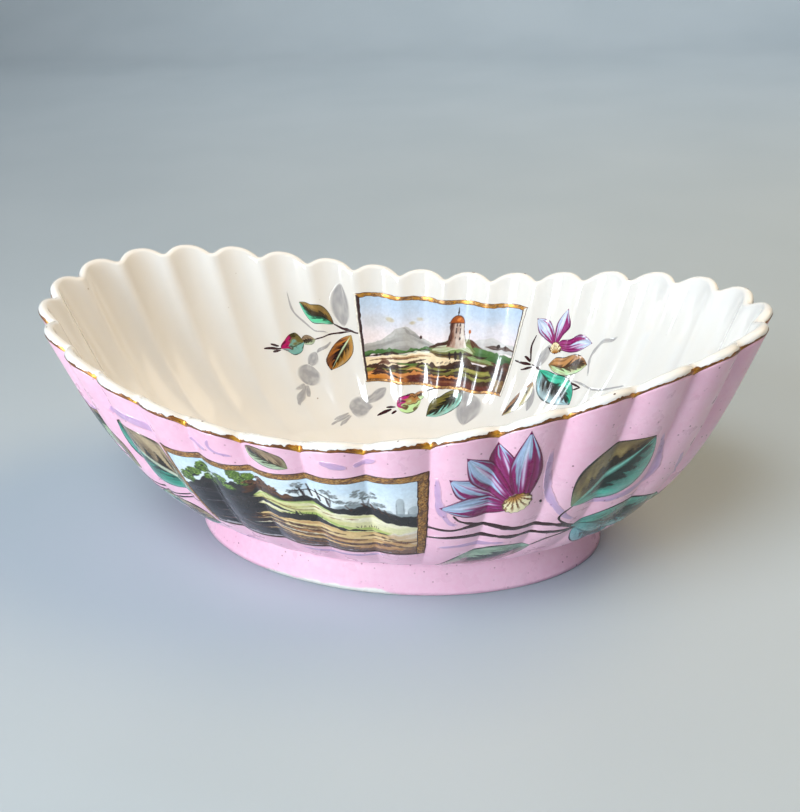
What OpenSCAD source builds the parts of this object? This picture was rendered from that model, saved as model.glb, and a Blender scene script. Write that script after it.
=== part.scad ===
// Fluted oval serving bowl in porcelain: a moulded bowl luted to an oval foot ring,
// with a fired pink ground outside, a gilded rim, painted panels and flower sprays.
// Origin at the centre of the foot's base, +X along the bowl, +Z up, in millimetres.
// A place on the wall is [turn, level]: turn in degrees along the rim from the +X end,
// with equal steps of rim length, and level from 0 at the foot to 1 at the rim.

/* [Bowl] */
// Overall length, over the flutes
bowl_length = 305; // [270:1:330]
// Overall width, over the flutes
bowl_width = 179; // [165:1:195]
// Height of the rim at the two ends, in the notches
end_height = 107.5; // [98:0.5:115]
// Height of the rim at the middle of each side, in the notches
side_height = 85.5; // [78:0.5:95]
// Extra height of the rim at the four quarters
quarter_rise = 4.2; // [0:0.1:6]
// Height by which two opposite quarters of the rim warped up in the kiln
kiln_warp = 2.8; // [0:0.1:4]
// Thickness of the wall
wall = 4; // [3:0.1:5]
// Thickness of the floor at its middle
floor_thickness = 4.5; // [4:0.1:5.5]

/* [Flutes] */
// Number of flutes round the bowl
flute_count = 32; // [28:2:36]
// Turn of the first notch from the +X end
flute_turn = -4; // [-5:0.5:5]
// How far each flute swells out at the rim
flute_depth = 3.9; // [2.5:0.1:4.5]
// How far each lobe of the rim rises above its notches
lobe_rise = 3; // [1:0.1:4]

/* [Foot] */
// Length of the foot at its base
foot_length = 187.6; // [175:0.2:200]
// Width of the foot at its base
foot_width = 113; // [104:0.5:120]
// Height of the foot
foot_height = 14.2; // [13:0.2:16]
// Size of the foot where it meets the bowl, as a share of its base
foot_waist = 0.938; // [0.92:0.001:0.96]
// Thickness of the foot ring at its base
ring_thickness = 6; // [5:0.1:7]

/* [Decoration] */
// Thickness of the pink ground and of the gilding
coat = 0.3; // [0.2:0.05:0.4]
// Thickness of the painted enamels
enamel = 0.25; // [0.2:0.05:0.4]
// Width of the gold frames round the panels
frame_width = 2.2; // [1.5:0.1:3]

/* [Hidden] */

porcelain = [0.95, 0.94, 0.90];
pink = [0.93, 0.72, 0.76];
gold = [0.66, 0.47, 0.18];
landscape = [0.55, 0.55, 0.36];
leaf_green = [0.33, 0.52, 0.45];

flute_step = 360 / flute_count;
half_length = bowl_length / 2 - flute_depth - coat;
half_width = bowl_width / 2 - flute_depth - coat;
foot_half_length = foot_length / 2;
foot_half_width = foot_width / 2;
waist_length = foot_half_length * foot_waist;
waist_width = foot_half_width * foot_waist;
mean_height = (end_height + side_height) / 2;
saddle = (end_height - side_height) / 2;

// The rounded lip adds this to the height of the wall's top edge
lip_height = 1.2;
// Softness of the crease in each notch, and how fast the flutes fade to the foot
crease = 0.08;
flute_fade = 0.7;
// Handles of the wall's curve from the foot, [0, 0], to the rim, [1, 1]
foot_handle = [0.64, 0.166];
rim_handle = [0.797, 0.583];
// The underside and the floor stay flat, then rise at the ring by this power
underside_height = 9.5;
bottom_power = 6;
// Where the foot ring's inner face meets the underside, as a share of the waist
ring_top = 0.93;
// The ground stops here, just under the lip, and the gilding goes on from it
ground_level = 0.985;
gilding_angle = 60;
// Bare foot edge under the pink ground
bare_edge = 1.2;
// Small step for slopes
step = 0.001;
turn_step = 0.06;

// Angle on the notch ellipse at each length along it
ellipse_step = 1;
function ellipse_point(t) = [half_length * cos(t), half_width * sin(t)];
function chord(t) = norm(ellipse_point(t + ellipse_step) - ellipse_point(t));
ARC = [for (run = 0, t = 0; t <= 360; run = run + chord(t), t = t + ellipse_step) [run, t]];
rim_run = ARC[len(ARC) - 1][0];
function rim_angle(turn) = lookup((turn % 360 + 360) % 360 / 360 * rim_run, ARC);

// The wall's curve: how far out it is at each level
curve_steps = 60;
function bezier(p, q, u) = 3 * (1 - u) * (1 - u) * u * p + 3 * (1 - u) * u * u * q + u * u * u;
CURVE = [for (i = [0 : curve_steps]) let (u = i / curve_steps)
    [bezier(foot_handle[1], rim_handle[1], u), bezier(foot_handle[0], rim_handle[0], u)]];
function spread(level) = lookup(level, CURVE);

// Swell of a flute across its width, 0 at the notches and 1 at its middle
function flute_part(turn) = let (n = (turn - flute_turn) / flute_step) n - floor(n);
function lobe(turn) = let (p = flute_part(turn), arch = 4 * p * (1 - p))
    (sqrt(arch * arch + crease * crease) - crease) / (sqrt(1 + crease * crease) - crease);
function rim_height(turn, t) = mean_height + saddle * cos(2 * t)
    + quarter_rise * (1 - cos(4 * t)) / 2 - kiln_warp * sin(2 * t)
    + lobe_rise * lobe(turn) - lip_height;
function unit(v) = v / norm(v);

// A point on the bowl's outside
function outside(turn, level) =
    let (
        t = rim_angle(turn),
        out = spread(level),
        swell = flute_depth * lobe(turn) * pow(max(level, 0), flute_fade),
        away = unit([half_width * cos(t), half_length * sin(t)]),
        x = (waist_length + (half_length - waist_length) * out) * cos(t) + away[0] * swell,
        y = (waist_width + (half_width - waist_width) * out) * sin(t) + away[1] * swell
    )
    [x, y, foot_height + (rim_height(turn, t) - foot_height) * level];
function up_slope(turn, level) =
    outside(turn, min(level + step, 1)) - outside(turn, max(level - step, 0));
function outward(turn, level) = unit(cross(
    outside(turn + turn_step, level) - outside(turn - turn_step, level), up_slope(turn, level)));
// A point at a distance outside that surface, or inside it where the distance is negative
function skin(turn, level, lift) = outside(turn, level) + lift * outward(turn, level);
// A point on the rounded lip: 0 is its outer edge, 180 its inner edge
function lip(turn, angle, lift) =
    let (n = outward(turn, 1), up = unit(up_slope(turn, 1)))
    outside(turn, 1) - n * wall / 2 + (wall / 2 + lift) * (n * cos(angle) + up * sin(angle));
// Points on the underside and on the floor, at a share of the way out
function underside(turn, share) = let (t = rim_angle(turn)) [
    waist_length * share * cos(t), waist_width * share * sin(t),
    underside_height + (foot_height - underside_height) * pow(share, bottom_power)];
function floor_point(turn, share) =
    let (edge = skin(turn, 0, -wall), middle = underside_height + floor_thickness)
    [edge[0] * share, edge[1] * share, middle + (edge[2] - middle) * pow(share, bottom_power)];
// A point on the foot: inset from its base outline, at a height
function foot_point(turn, inset, z) = let (t = rim_angle(turn))
    [(foot_half_length - inset) * cos(t), (foot_half_width - inset) * sin(t), z];
function foot_side(turn, rise) = let (t = rim_angle(turn), share = 1 - (1 - foot_waist) * rise)
    [foot_half_length * share * cos(t), foot_half_width * share * sin(t), foot_height * rise];
function foot_outward(turn) = unit(cross(
    foot_side(turn + turn_step, 0.5) - foot_side(turn - turn_step, 0.5),
    foot_side(turn, 1) - foot_side(turn, 0)));
// The ground's outer corner in the crease between the bowl and the foot
function crease_point(turn, lift) = let (a = outward(turn, 0), b = foot_outward(turn))
    outside(turn, 0) + lift * (a + b) / (1 + a * b);
function foot_skin(turn, rise, lift) = foot_side(turn, rise) + lift * foot_outward(turn);

// Columns across each flute, closer near the notches, and levels up the wall
PHASES = [0, 0.18, 0.5, 0.82];
function column_turn(i) = flute_turn
    + flute_step * (floor(i / len(PHASES)) + PHASES[i % len(PHASES)]);
column_count = flute_count * len(PHASES);
TURNS = [for (i = [0 : column_count - 1]) column_turn(i)];
WALL_LEVELS = [0.08, 0.2, 0.36, 0.54, 0.72, 0.88, ground_level];
LIP_ANGLES = [gilding_angle, 120];
UNDERSIDE_SHARES = [0.35, 0.7, ring_top, 1];
FLOOR_SHARES = [0.85, 0.65, 0.35];
FOOT_RISES = [bare_edge / foot_height, 0.55];

// Two triangles between ring r and the next, at column c and the next. The shared edge runs
// the same way on every layer, so that layers meet face to face where one rises and one falls.
function cell(r, next_r, c, next_c, columns, falls) =
    let (
        near = r * columns + c,
        near_next = r * columns + next_c,
        far = next_r * columns + c,
        far_next = next_r * columns + next_c
    )
    falls
        ? [[near, far, near_next], [near_next, far, far_next]]
        : [[near, far_next, near_next], [near, far, far_next]];

// A solid whose rings of points go all round the bowl, closed by its two middle points.
// Its first rings rise, and the others fall.
module capped_loft(rings, rising, first_middle, last_middle) {
    columns = len(rings[0]);
    last = len(rings) - 1;
    points = concat([for (ring = rings) each ring], [first_middle, last_middle]);
    first_tip = len(points) - 2;
    sides = [for (r = [0 : last - 1], c = [0 : columns - 1])
        each cell(r, r + 1, c, (c + 1) % columns, columns, r >= rising)];
    first_cap = [for (c = [0 : columns - 1]) [first_tip, c, (c + 1) % columns]];
    last_cap = [for (c = [0 : columns - 1])
        [first_tip + 1, last * columns + (c + 1) % columns, last * columns + c]];
    polyhedron(points, concat(sides, first_cap, last_cap));
}

// A solid whose rings of points form a closed loop, right round the bowl
module ring_loft(rings, rising) {
    columns = len(rings[0]);
    faces = [for (r = [0 : len(rings) - 1], c = [0 : columns - 1])
        each cell(r, (r + 1) % len(rings), c, (c + 1) % columns, columns, r >= rising)];
    polyhedron([for (ring = rings) each ring], faces);
}

// A thin shell over part of the wall, from one column to another, with ends closed
module patch(first_turn, last_turn, lift, thickness) {
    first = floor((first_turn - flute_turn) / flute_step) * len(PHASES);
    last = ceil((last_turn - flute_turn) / flute_step) * len(PHASES);
    levels = concat([0], WALL_LEVELS);
    turns = [for (i = [first : last]) column_turn(i)];
    top = lift + thickness;
    outer_face = [for (level = levels) [for (turn = turns) skin(turn, level, top)]];
    inner_face = [for (level = reverse(levels)) [for (turn = turns) skin(turn, level, lift)]];
    rings = concat(outer_face, inner_face);
    count = len(rings);
    columns = len(turns);
    sides = [for (r = [0 : count - 1], c = [0 : columns - 2])
        each cell(r, (r + 1) % count, c, c + 1, columns, r >= len(levels))];
    start = [for (i = [0 : len(levels) - 2]) let (a = i * columns, b = (count - 1 - i) * columns)
        each [[a, b - columns, a + columns], [a, b, b - columns]]];
    finish = [for (face = start) [face[0] + columns - 1, face[2] + columns - 1, face[1] + columns - 1]];
    polyhedron([for (ring = rings) each ring], concat(sides, start, finish));
}

function wall_ring(level, lift) = [for (turn = TURNS) skin(turn, level, lift)];
function lip_ring(angle, lift) = [for (turn = TURNS) lip(turn, angle, lift)];
function under_ring(share) = [for (turn = TURNS) underside(turn, share)];
function foot_ring_at(inset, z) = [for (turn = TURNS) foot_point(turn, inset, z)];
function foot_side_ring(rise, lift) = [for (turn = TURNS) foot_skin(turn, rise, lift)];
function reverse(list) = [for (i = [len(list) - 1 : -1 : 0]) list[i]];

module bowl_body() {
    rising = concat(
        [for (share = UNDERSIDE_SHARES) under_ring(share)],
        [for (level = concat(WALL_LEVELS, [1])) wall_ring(level, 0)],
        [for (angle = LIP_ANGLES) lip_ring(angle, 0)]);
    falling = concat(
        [for (level = concat([1], reverse(WALL_LEVELS), [0])) wall_ring(level, -wall)],
        [for (share = FLOOR_SHARES) [for (turn = TURNS) floor_point(turn, share)]]);
    color(porcelain)
        capped_loft(
            concat(rising, falling),
            len(rising) - 1,
            [0, 0, underside_height],
            [0, 0, underside_height + floor_thickness]);
}

module foot_ring() {
    edge_round = 1;
    below = 2;
    inner_inset = ring_thickness + edge_round;
    rings = concat(
        [
            under_ring(ring_top),
            foot_ring_at(inner_inset, foot_height / 2),
            foot_ring_at(inner_inset, edge_round),
            foot_ring_at(ring_thickness, 0),
            foot_ring_at(ring_thickness, -below),
            foot_ring_at(edge_round, -below),
            foot_ring_at(edge_round, 0)
        ],
        [for (rise = FOOT_RISES) foot_side_ring(rise, 0)],
        [under_ring(1)]);
    color(porcelain)
        difference() {
            ring_loft(rings, len(rings) - 1);
            translate([-foot_length, -foot_width, -2 * below])
                cube([2 * foot_length, 2 * foot_width, 2 * below]);
        }
}

module pink_ground() {
    rising = concat(
        [for (rise = FOOT_RISES) foot_side_ring(rise, coat)],
        [[for (turn = TURNS) crease_point(turn, coat)]],
        [for (level = WALL_LEVELS) wall_ring(level, coat)]);
    falling = concat(
        [for (level = reverse(WALL_LEVELS)) wall_ring(level, 0)],
        [for (rise = concat([1], reverse(FOOT_RISES))) foot_side_ring(rise, 0)]);
    color(pink)
        ring_loft(concat(rising, falling), len(rising));
}

module rim_gilding() {
    rising = [wall_ring(ground_level, coat), wall_ring(1, coat), lip_ring(gilding_angle, coat)];
    falling = [lip_ring(gilding_angle, 0), wall_ring(1, 0), wall_ring(ground_level, 0)];
    color(gold)
        ring_loft(concat(rising, falling), len(rising));
}

// The outline of a place on the wall, seen from the side: [x, z]
function seen(place, lift) = let (p = skin(place[0], place[1], lift)) [p[0], p[2]];

// What its children draw, seen from the side, taken out of a thin shell of the wall
module painted(first_turn, last_turn, lift) {
    intersection() {
        patch(first_turn, last_turn, lift, enamel);
        rotate([90, 0, 0])
            linear_extrude(bowl_width, center = true)
                children();
    }
}

module panel_outline(corners, lift, grow) {
    offset(delta = grow)
        polygon([for (corner = corners) seen(corner, lift)]);
}

module leaf_outline(base, tip, leaf_width, lift) {
    a = seen(base, lift);
    b = seen(tip, lift);
    side = unit([a[1] - b[1], b[0] - a[0]]) * leaf_width / 2;
    edge = [for (i = [0 : 6]) let (u = i / 6) a + (b - a) * u + side * sin(180 * pow(u, 0.8))];
    back = [for (i = [5 : -1 : 1]) let (u = i / 6) a + (b - a) * u - side * sin(180 * pow(u, 0.8))];
    polygon(concat(edge, back));
}

module stem_outline(places, stem_width, lift) {
    for (i = [0 : len(places) - 2])
        hull() {
            translate(seen(places[i], lift)) circle(d = stem_width, $fn = 6);
            translate(seen(places[i + 1], lift)) circle(d = stem_width, $fn = 6);
        }
}

OUTER_PANEL = [[234.5, 0.775], [288.5, 0.86], [288.5, 0.24], [236.7, 0.27]];
INNER_PANEL = [[108, 0.87], [64.4, 0.87], [66.2, 0.26], [107.2, 0.27]];
half_turn = [0, 0, 180];

module front_panel() {
    color(landscape)
        painted(232, 291, coat)
            panel_outline(OUTER_PANEL, coat, -frame_width);
}

module front_panel_frame() {
    color(gold)
        painted(232, 291, coat)
            difference() {
                panel_outline(OUTER_PANEL, coat, 0);
                panel_outline(OUTER_PANEL, coat, -frame_width);
            }
}

module front_right_spray() {
    heart = [305.6, 0.57];
    color(leaf_green)
        painted(290, 350, coat) {
            leaf_outline(heart, [291, 0.6], 9, coat);
            leaf_outline(heart, [292, 0.78], 9, coat);
            leaf_outline(heart, [295, 0.89], 9, coat);
            leaf_outline(heart, [300, 0.94], 9, coat);
            leaf_outline(heart, [304.5, 0.945], 9, coat);
            leaf_outline([316.8, 0.47], [329, 0.74], 16, coat);
            leaf_outline([320, 0.3], [344, 0.3], 9, coat);
            leaf_outline([294, 0.08], [312.5, 0.23], 8, coat);
            stem_outline([[291, 0.47], [303, 0.42], [319.5, 0.33], [322, 0.3]], 1.6, coat);
            stem_outline([[319.5, 0.33], [315.5, 0.4], [316.8, 0.47]], 1.4, coat);
        }
}

module front_left_spray() {
    color(leaf_green)
        painted(198, 236, coat) {
            leaf_outline([236, 0.5], [219, 0.73], 11, coat);
            leaf_outline([222, 0.45], [206, 0.5], 9, coat);
            leaf_outline([231, 0.27], [216, 0.3], 8, coat);
            stem_outline([[235, 0.5], [226, 0.42], [216, 0.5]], 1.4, coat);
        }
}

module back_panel() {
    rotate(half_turn) front_panel();
}

module back_panel_frame() {
    rotate(half_turn) front_panel_frame();
}

module back_right_spray() {
    rotate(half_turn) front_right_spray();
}

module back_left_spray() {
    rotate(half_turn) front_left_spray();
}

module inner_back_panel() {
    color(landscape)
        painted(61, 111, -wall - enamel)
            panel_outline(INNER_PANEL, -wall, -frame_width);
}

module inner_back_panel_frame() {
    color(gold)
        painted(61, 111, -wall - enamel)
            difference() {
                panel_outline(INNER_PANEL, -wall, 0);
                panel_outline(INNER_PANEL, -wall, -frame_width);
            }
}

module inner_back_sprays() {
    heart = [54, 0.59];
    color(leaf_green)
        painted(40, 132, -wall - enamel) {
            leaf_outline([112.5, 0.58], [123.5, 0.73], 9, -wall);
            leaf_outline([119.5, 0.54], [131, 0.47], 9, -wall);
            leaf_outline([110, 0.56], [119.5, 0.34], 9, -wall);
            leaf_outline([90.5, 0.18], [99, 0.11], 7, -wall);
            leaf_outline([77, 0.24], [88, 0.09], 8, -wall);
            leaf_outline(heart, [62.5, 0.78], 9, -wall);
            leaf_outline(heart, [52.7, 0.84], 9, -wall);
            leaf_outline(heart, [45.5, 0.6], 9, -wall);
            leaf_outline([57.5, 0.36], [42.5, 0.3], 11, -wall);
            leaf_outline([57, 0.33], [62.5, 0.14], 9, -wall);
            stem_outline([heart, [58, 0.5], [59.5, 0.39], [57, 0.33]], 1.2, -wall);
        }
}

module inner_front_panel() {
    rotate(half_turn) inner_back_panel();
}

module inner_front_panel_frame() {
    rotate(half_turn) inner_back_panel_frame();
}

module inner_front_sprays() {
    rotate(half_turn) inner_back_sprays();
}

bowl_body();
foot_ring();
pink_ground();
rim_gilding();
front_panel();
front_panel_frame();
front_right_spray();
front_left_spray();
back_panel();
back_panel_frame();
back_right_spray();
back_left_spray();
inner_back_panel();
inner_back_panel_frame();
inner_back_sprays();
inner_front_panel();
inner_front_panel_frame();
inner_front_sprays();
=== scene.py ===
"""Looks for the fluted oval porcelain bowl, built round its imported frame. Metres, +X along the bowl, +Z up.

A place on the wall is (turn, level): turn in degrees along the rim from the +X end, in equal steps
of rim length, and level from 0 at the foot to 1 at the rim. Lift is the distance outside the wall.
The decoration is painted on both long sides: what is at a turn is also at the turn opposite.
"""

import math

import bpy
import numpy as np
from mathutils import Matrix, Vector


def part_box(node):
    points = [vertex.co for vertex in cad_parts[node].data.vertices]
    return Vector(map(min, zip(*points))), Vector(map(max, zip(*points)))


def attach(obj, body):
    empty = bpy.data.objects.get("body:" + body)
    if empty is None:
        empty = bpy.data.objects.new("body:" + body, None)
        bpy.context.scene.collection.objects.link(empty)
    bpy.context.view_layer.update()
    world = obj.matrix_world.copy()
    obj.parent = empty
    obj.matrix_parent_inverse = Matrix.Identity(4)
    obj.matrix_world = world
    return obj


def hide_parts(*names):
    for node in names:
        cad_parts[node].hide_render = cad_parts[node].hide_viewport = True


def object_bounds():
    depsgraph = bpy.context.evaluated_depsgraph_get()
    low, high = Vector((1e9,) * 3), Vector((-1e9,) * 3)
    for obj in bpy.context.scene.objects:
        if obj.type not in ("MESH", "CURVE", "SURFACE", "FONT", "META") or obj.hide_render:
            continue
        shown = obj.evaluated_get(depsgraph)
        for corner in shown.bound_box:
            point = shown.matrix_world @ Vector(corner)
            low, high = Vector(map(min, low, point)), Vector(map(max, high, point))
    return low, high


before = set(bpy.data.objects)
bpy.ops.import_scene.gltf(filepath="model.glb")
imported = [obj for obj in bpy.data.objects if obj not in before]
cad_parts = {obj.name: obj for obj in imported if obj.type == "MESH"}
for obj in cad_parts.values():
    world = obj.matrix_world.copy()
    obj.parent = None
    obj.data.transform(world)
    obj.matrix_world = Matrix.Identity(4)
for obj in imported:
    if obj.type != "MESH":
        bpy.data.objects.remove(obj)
cad_box = [list(corner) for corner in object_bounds()]

MM = 0.001

# Camera
TARGET = Vector((5.0, 0.0, 58.6)) * MM
AZIMUTH, ELEVATION, ROLL = 15.9, 27.7, -3.3
DISTANCE, LENS, SENSOR = 0.413, 41.9, 36.0

# The bowl's driving sizes, as the design has them. Four are fitted more finely here: the flutes fade out
# a little later towards the foot (FLUTE_FADE), the floor curves up a little sooner (FLOOR_POWER), and the
# lobes have shapes of their own (SWELL_SHAPE across the wall, SCALLOP_SHAPE along the rim)
FLUTES, FLUTE_TURN = 32, -4.0
FLUTE_DEPTH, LOBE_RISE, FLUTE_FADE = 3.9 * MM, 3.0 * MM, 0.52
SWELL_SHAPE, SCALLOP_SHAPE, SCALLOP_MEAN = (2.1, 0.12), (2.6, 0.04), 0.72
END_HEIGHT, SIDE_HEIGHT = 107.5 * MM, 85.5 * MM
QUARTER_RISE, KILN_WARP, LIP_HEIGHT = 4.2 * MM, 2.8 * MM, 1.2 * MM
WALL = 4.0 * MM
CAD_COAT = 0.3 * MM
FOOT_WAIST, RING_THICKNESS, FOOT_EDGE = 0.938, 6.0 * MM, 1.0 * MM
UNDERSIDE_HEIGHT, FLOOR_THICKNESS, BOTTOM_POWER, FLOOR_POWER = 9.5 * MM, 4.5 * MM, 6, 3.6
FOOT_HANDLE, RIM_HANDLE = (0.64, 0.166), (0.797, 0.583)
BARE_EDGE, PAINT_EDGE = 1.2 * MM, 0.45 * MM

foot_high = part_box("foot_ring")[1]
bowl_high = Vector(cad_box[1])
FOOT_HEIGHT = foot_high.z
HALF_LENGTH = bowl_high.x - FLUTE_DEPTH - CAD_COAT
HALF_WIDTH = bowl_high.y - FLUTE_DEPTH - CAD_COAT
edge_share = 1 - (1 - FOOT_WAIST) * BARE_EDGE / FOOT_HEIGHT
FOOT_HALF_LENGTH = foot_high.x / edge_share
FOOT_HALF_WIDTH = foot_high.y / edge_share
WAIST_LENGTH = FOOT_HALF_LENGTH * FOOT_WAIST
WAIST_WIDTH = FOOT_HALF_WIDTH * FOOT_WAIST


# ---------------------------------------------------------------- the bowl's surface

def arc_table():
    """Angles on the notch ellipse, and the share of the rim's length run at each."""
    angle = np.linspace(0, 2 * math.pi, 2881)
    run = np.hypot(np.diff(HALF_LENGTH * np.cos(angle)), np.diff(HALF_WIDTH * np.sin(angle)))
    share = np.concatenate([[0], np.cumsum(run)])
    return angle, share / share[-1]


def curve_table():
    """Level and share of the way out along the wall's curve, from the foot to the rim."""
    u = np.linspace(0, 1, 401)
    bezier = [3 * (1 - u) ** 2 * u * FOOT_HANDLE[i] + 3 * (1 - u) * u * u * RIM_HANDLE[i] + u ** 3
              for i in (0, 1)]
    return bezier[1], bezier[0]


ARC_ANGLE, ARC_SHARE = arc_table()
CURVE_LEVEL, CURVE_OUT = curve_table()


def rim_angle(turn):
    """The notch ellipse's angle at a turn, in radians."""
    return np.interp(np.mod(turn, 360) / 360, ARC_SHARE, ARC_ANGLE)


def flute_part(turn):
    """How far a turn is across its own flute, from 0 at one notch to 1 at the next."""
    return np.mod((turn - FLUTE_TURN) * FLUTES / 360, 1)


def lobe(turn, shape):
    """Swell of a flute across its width: 0 in the notches, 1 at its middle.

    The shape is how flat the middle is and how soft the notches are.
    """
    flatness, crease = shape
    arch = 1 - np.abs(2 * flute_part(turn) - 1) ** flatness
    return (np.sqrt(arch ** 2 + crease ** 2) - crease) / (math.sqrt(1 + crease ** 2) - crease)


def even_height(turn):
    """The rim's height with its scallops evened out."""
    t = rim_angle(turn)
    mean, saddle = (END_HEIGHT + SIDE_HEIGHT) / 2, (END_HEIGHT - SIDE_HEIGHT) / 2
    return (mean + saddle * np.cos(2 * t) + QUARTER_RISE * (1 - np.cos(4 * t)) / 2
            - KILN_WARP * np.sin(2 * t) + LOBE_RISE * SCALLOP_MEAN - LIP_HEIGHT)


def rim_height(turn):
    """The height of the wall's top edge, under the rounded lip."""
    return even_height(turn) + LOBE_RISE * (lobe(turn, SCALLOP_SHAPE) - SCALLOP_MEAN)


def scallop(turn):
    """True level for each evened level: the painter's lines don't follow the scallops."""
    return (even_height(turn) - FOOT_HEIGHT) / (rim_height(turn) - FOOT_HEIGHT)


def outside(turn, level):
    """Points on the porcelain's outside."""
    turn, level = np.broadcast_arrays(np.asarray(turn, float), np.asarray(level, float))
    t = rim_angle(turn)
    out = np.interp(level, CURVE_LEVEL, CURVE_OUT)
    away = np.stack([HALF_WIDTH * np.cos(t), HALF_LENGTH * np.sin(t)], -1)
    away /= np.linalg.norm(away, axis=-1, keepdims=True)
    swell = FLUTE_DEPTH * lobe(turn, SWELL_SHAPE) * np.clip(level, 0, 1) ** FLUTE_FADE
    x = (WAIST_LENGTH + (HALF_LENGTH - WAIST_LENGTH) * out) * np.cos(t) + away[..., 0] * swell
    y = (WAIST_WIDTH + (HALF_WIDTH - WAIST_WIDTH) * out) * np.sin(t) + away[..., 1] * swell
    return np.stack([x, y, FOOT_HEIGHT + (rim_height(turn) - FOOT_HEIGHT) * level], -1)


def unit(v):
    return v / np.linalg.norm(v, axis=-1, keepdims=True)


# Steps of level and of turn over which slopes are measured
LEVEL_STEP, TURN_STEP = 0.002, 0.12


def up_slope(turn, level):
    """A run up the wall over one step of level to either side, as far as the wall goes."""
    level = np.asarray(level, float)
    return outside(turn, np.minimum(level + LEVEL_STEP, 1)) - outside(turn, np.maximum(level - LEVEL_STEP, 0))


def outward(turn, level):
    """Unit vectors out of the wall."""
    turn = np.asarray(turn, float)
    along = outside(turn + TURN_STEP, level) - outside(turn - TURN_STEP, level)
    return unit(np.cross(along, up_slope(turn, level)))


def skin(turn, level, lift):
    """Points at a distance outside the wall, or inside it where lift is negative."""
    return outside(turn, level) + np.asarray(lift)[..., None] * outward(turn, level)


def lip(turn, angle, lift):
    """Points on the rounded lip: angle 0 is its outer edge, 180 its inner edge."""
    n, up = outward(turn, 1.0), unit(up_slope(turn, 1.0))
    a = np.radians(angle)[..., None]
    return (outside(turn, 1.0) - n * WALL / 2
            + (WALL / 2 + np.asarray(lift)[..., None]) * (n * np.cos(a) + up * np.sin(a)))


def oval(turn, half_length, half_width, z):
    """Points round an oval at a height."""
    t = rim_angle(turn)
    return np.stack([half_length * np.cos(t), half_width * np.sin(t), np.full_like(t, z)], -1)


def underside(turn, share):
    """Points under the bowl: share 0 is the middle and 1 the foot ring."""
    z = UNDERSIDE_HEIGHT + (FOOT_HEIGHT - UNDERSIDE_HEIGHT) * share ** BOTTOM_POWER
    return oval(turn, WAIST_LENGTH * share, WAIST_WIDTH * share, z)


def floor_point(turn, share):
    """Points on the bowl's inside floor: share 0 is the middle and 1 the foot of the wall."""
    edge = skin(turn, 0.0, -WALL)
    middle = UNDERSIDE_HEIGHT + FLOOR_THICKNESS
    z = middle + (edge[..., 2] - middle) * share ** FLOOR_POWER
    return np.stack([edge[..., 0] * share, edge[..., 1] * share, z], -1)


def foot_point(turn, inset, z):
    """Points on the foot ring at a distance in from its outer edge."""
    return oval(turn, FOOT_HALF_LENGTH - inset, FOOT_HALF_WIDTH - inset, z)


def foot_side(turn, rise, lift=0.0):
    """Points up the foot's outer side: rise 0 is the table and 1 the foot of the wall."""
    t = rim_angle(turn)
    share = 1 - (1 - FOOT_WAIST) * rise
    points = oval(turn, FOOT_HALF_LENGTH * share, FOOT_HALF_WIDTH * share, FOOT_HEIGHT * rise)
    points[..., :2] += unit(np.stack([HALF_WIDTH * np.cos(t), HALF_LENGTH * np.sin(t)], -1)) * lift
    return points


# ---------------------------------------------------------------- camera, light and floor

def make_camera():
    """The camera at the photograph's viewing angle."""
    a, e, r = (math.radians(v) for v in (AZIMUTH, ELEVATION, ROLL))
    back = Vector((math.sin(a) * math.cos(e), -math.cos(a) * math.cos(e), math.sin(e)))
    right = Vector((math.cos(a), math.sin(a), 0))
    up = back.cross(right)
    x_axis = right * math.cos(r) + up * math.sin(r)
    y_axis = up * math.cos(r) - right * math.sin(r)
    camera = bpy.data.objects.new("camera", bpy.data.cameras.new("camera"))
    camera.data.lens, camera.data.sensor_width = LENS, SENSOR
    camera.data.clip_start = 0.01
    place = TARGET + back * DISTANCE
    camera.matrix_world = Matrix.Translation(place) @ Matrix((x_axis, y_axis, back)).transposed().to_4x4()
    bpy.context.scene.collection.objects.link(camera)
    bpy.context.scene.camera = camera


def softbox(name, azimuth, elevation, distance, size, watts, colour, aim=(0, 0, 0.04), glint=False):
    """An area light in a direction from the place it faces.

    A glint is only seen mirrored in the glazes, and the others only light what they fall on.
    """
    light = bpy.data.lights.new(name, "AREA")
    light.shape, light.size, light.size_y = "RECTANGLE", size[0], size[1]
    light.energy, light.color = watts, colour
    lamp = bpy.data.objects.new(name, light)
    a, e = math.radians(azimuth), math.radians(elevation)
    away = Vector((math.cos(e) * math.cos(a), math.cos(e) * math.sin(a), math.sin(e)))
    lamp.location = Vector(aim) + away * distance
    lamp.rotation_euler = away.to_track_quat("Z", "Y").to_euler()
    lamp.visible_glossy = glint
    lamp.visible_diffuse = not glint
    bpy.context.scene.collection.objects.link(lamp)


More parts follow.
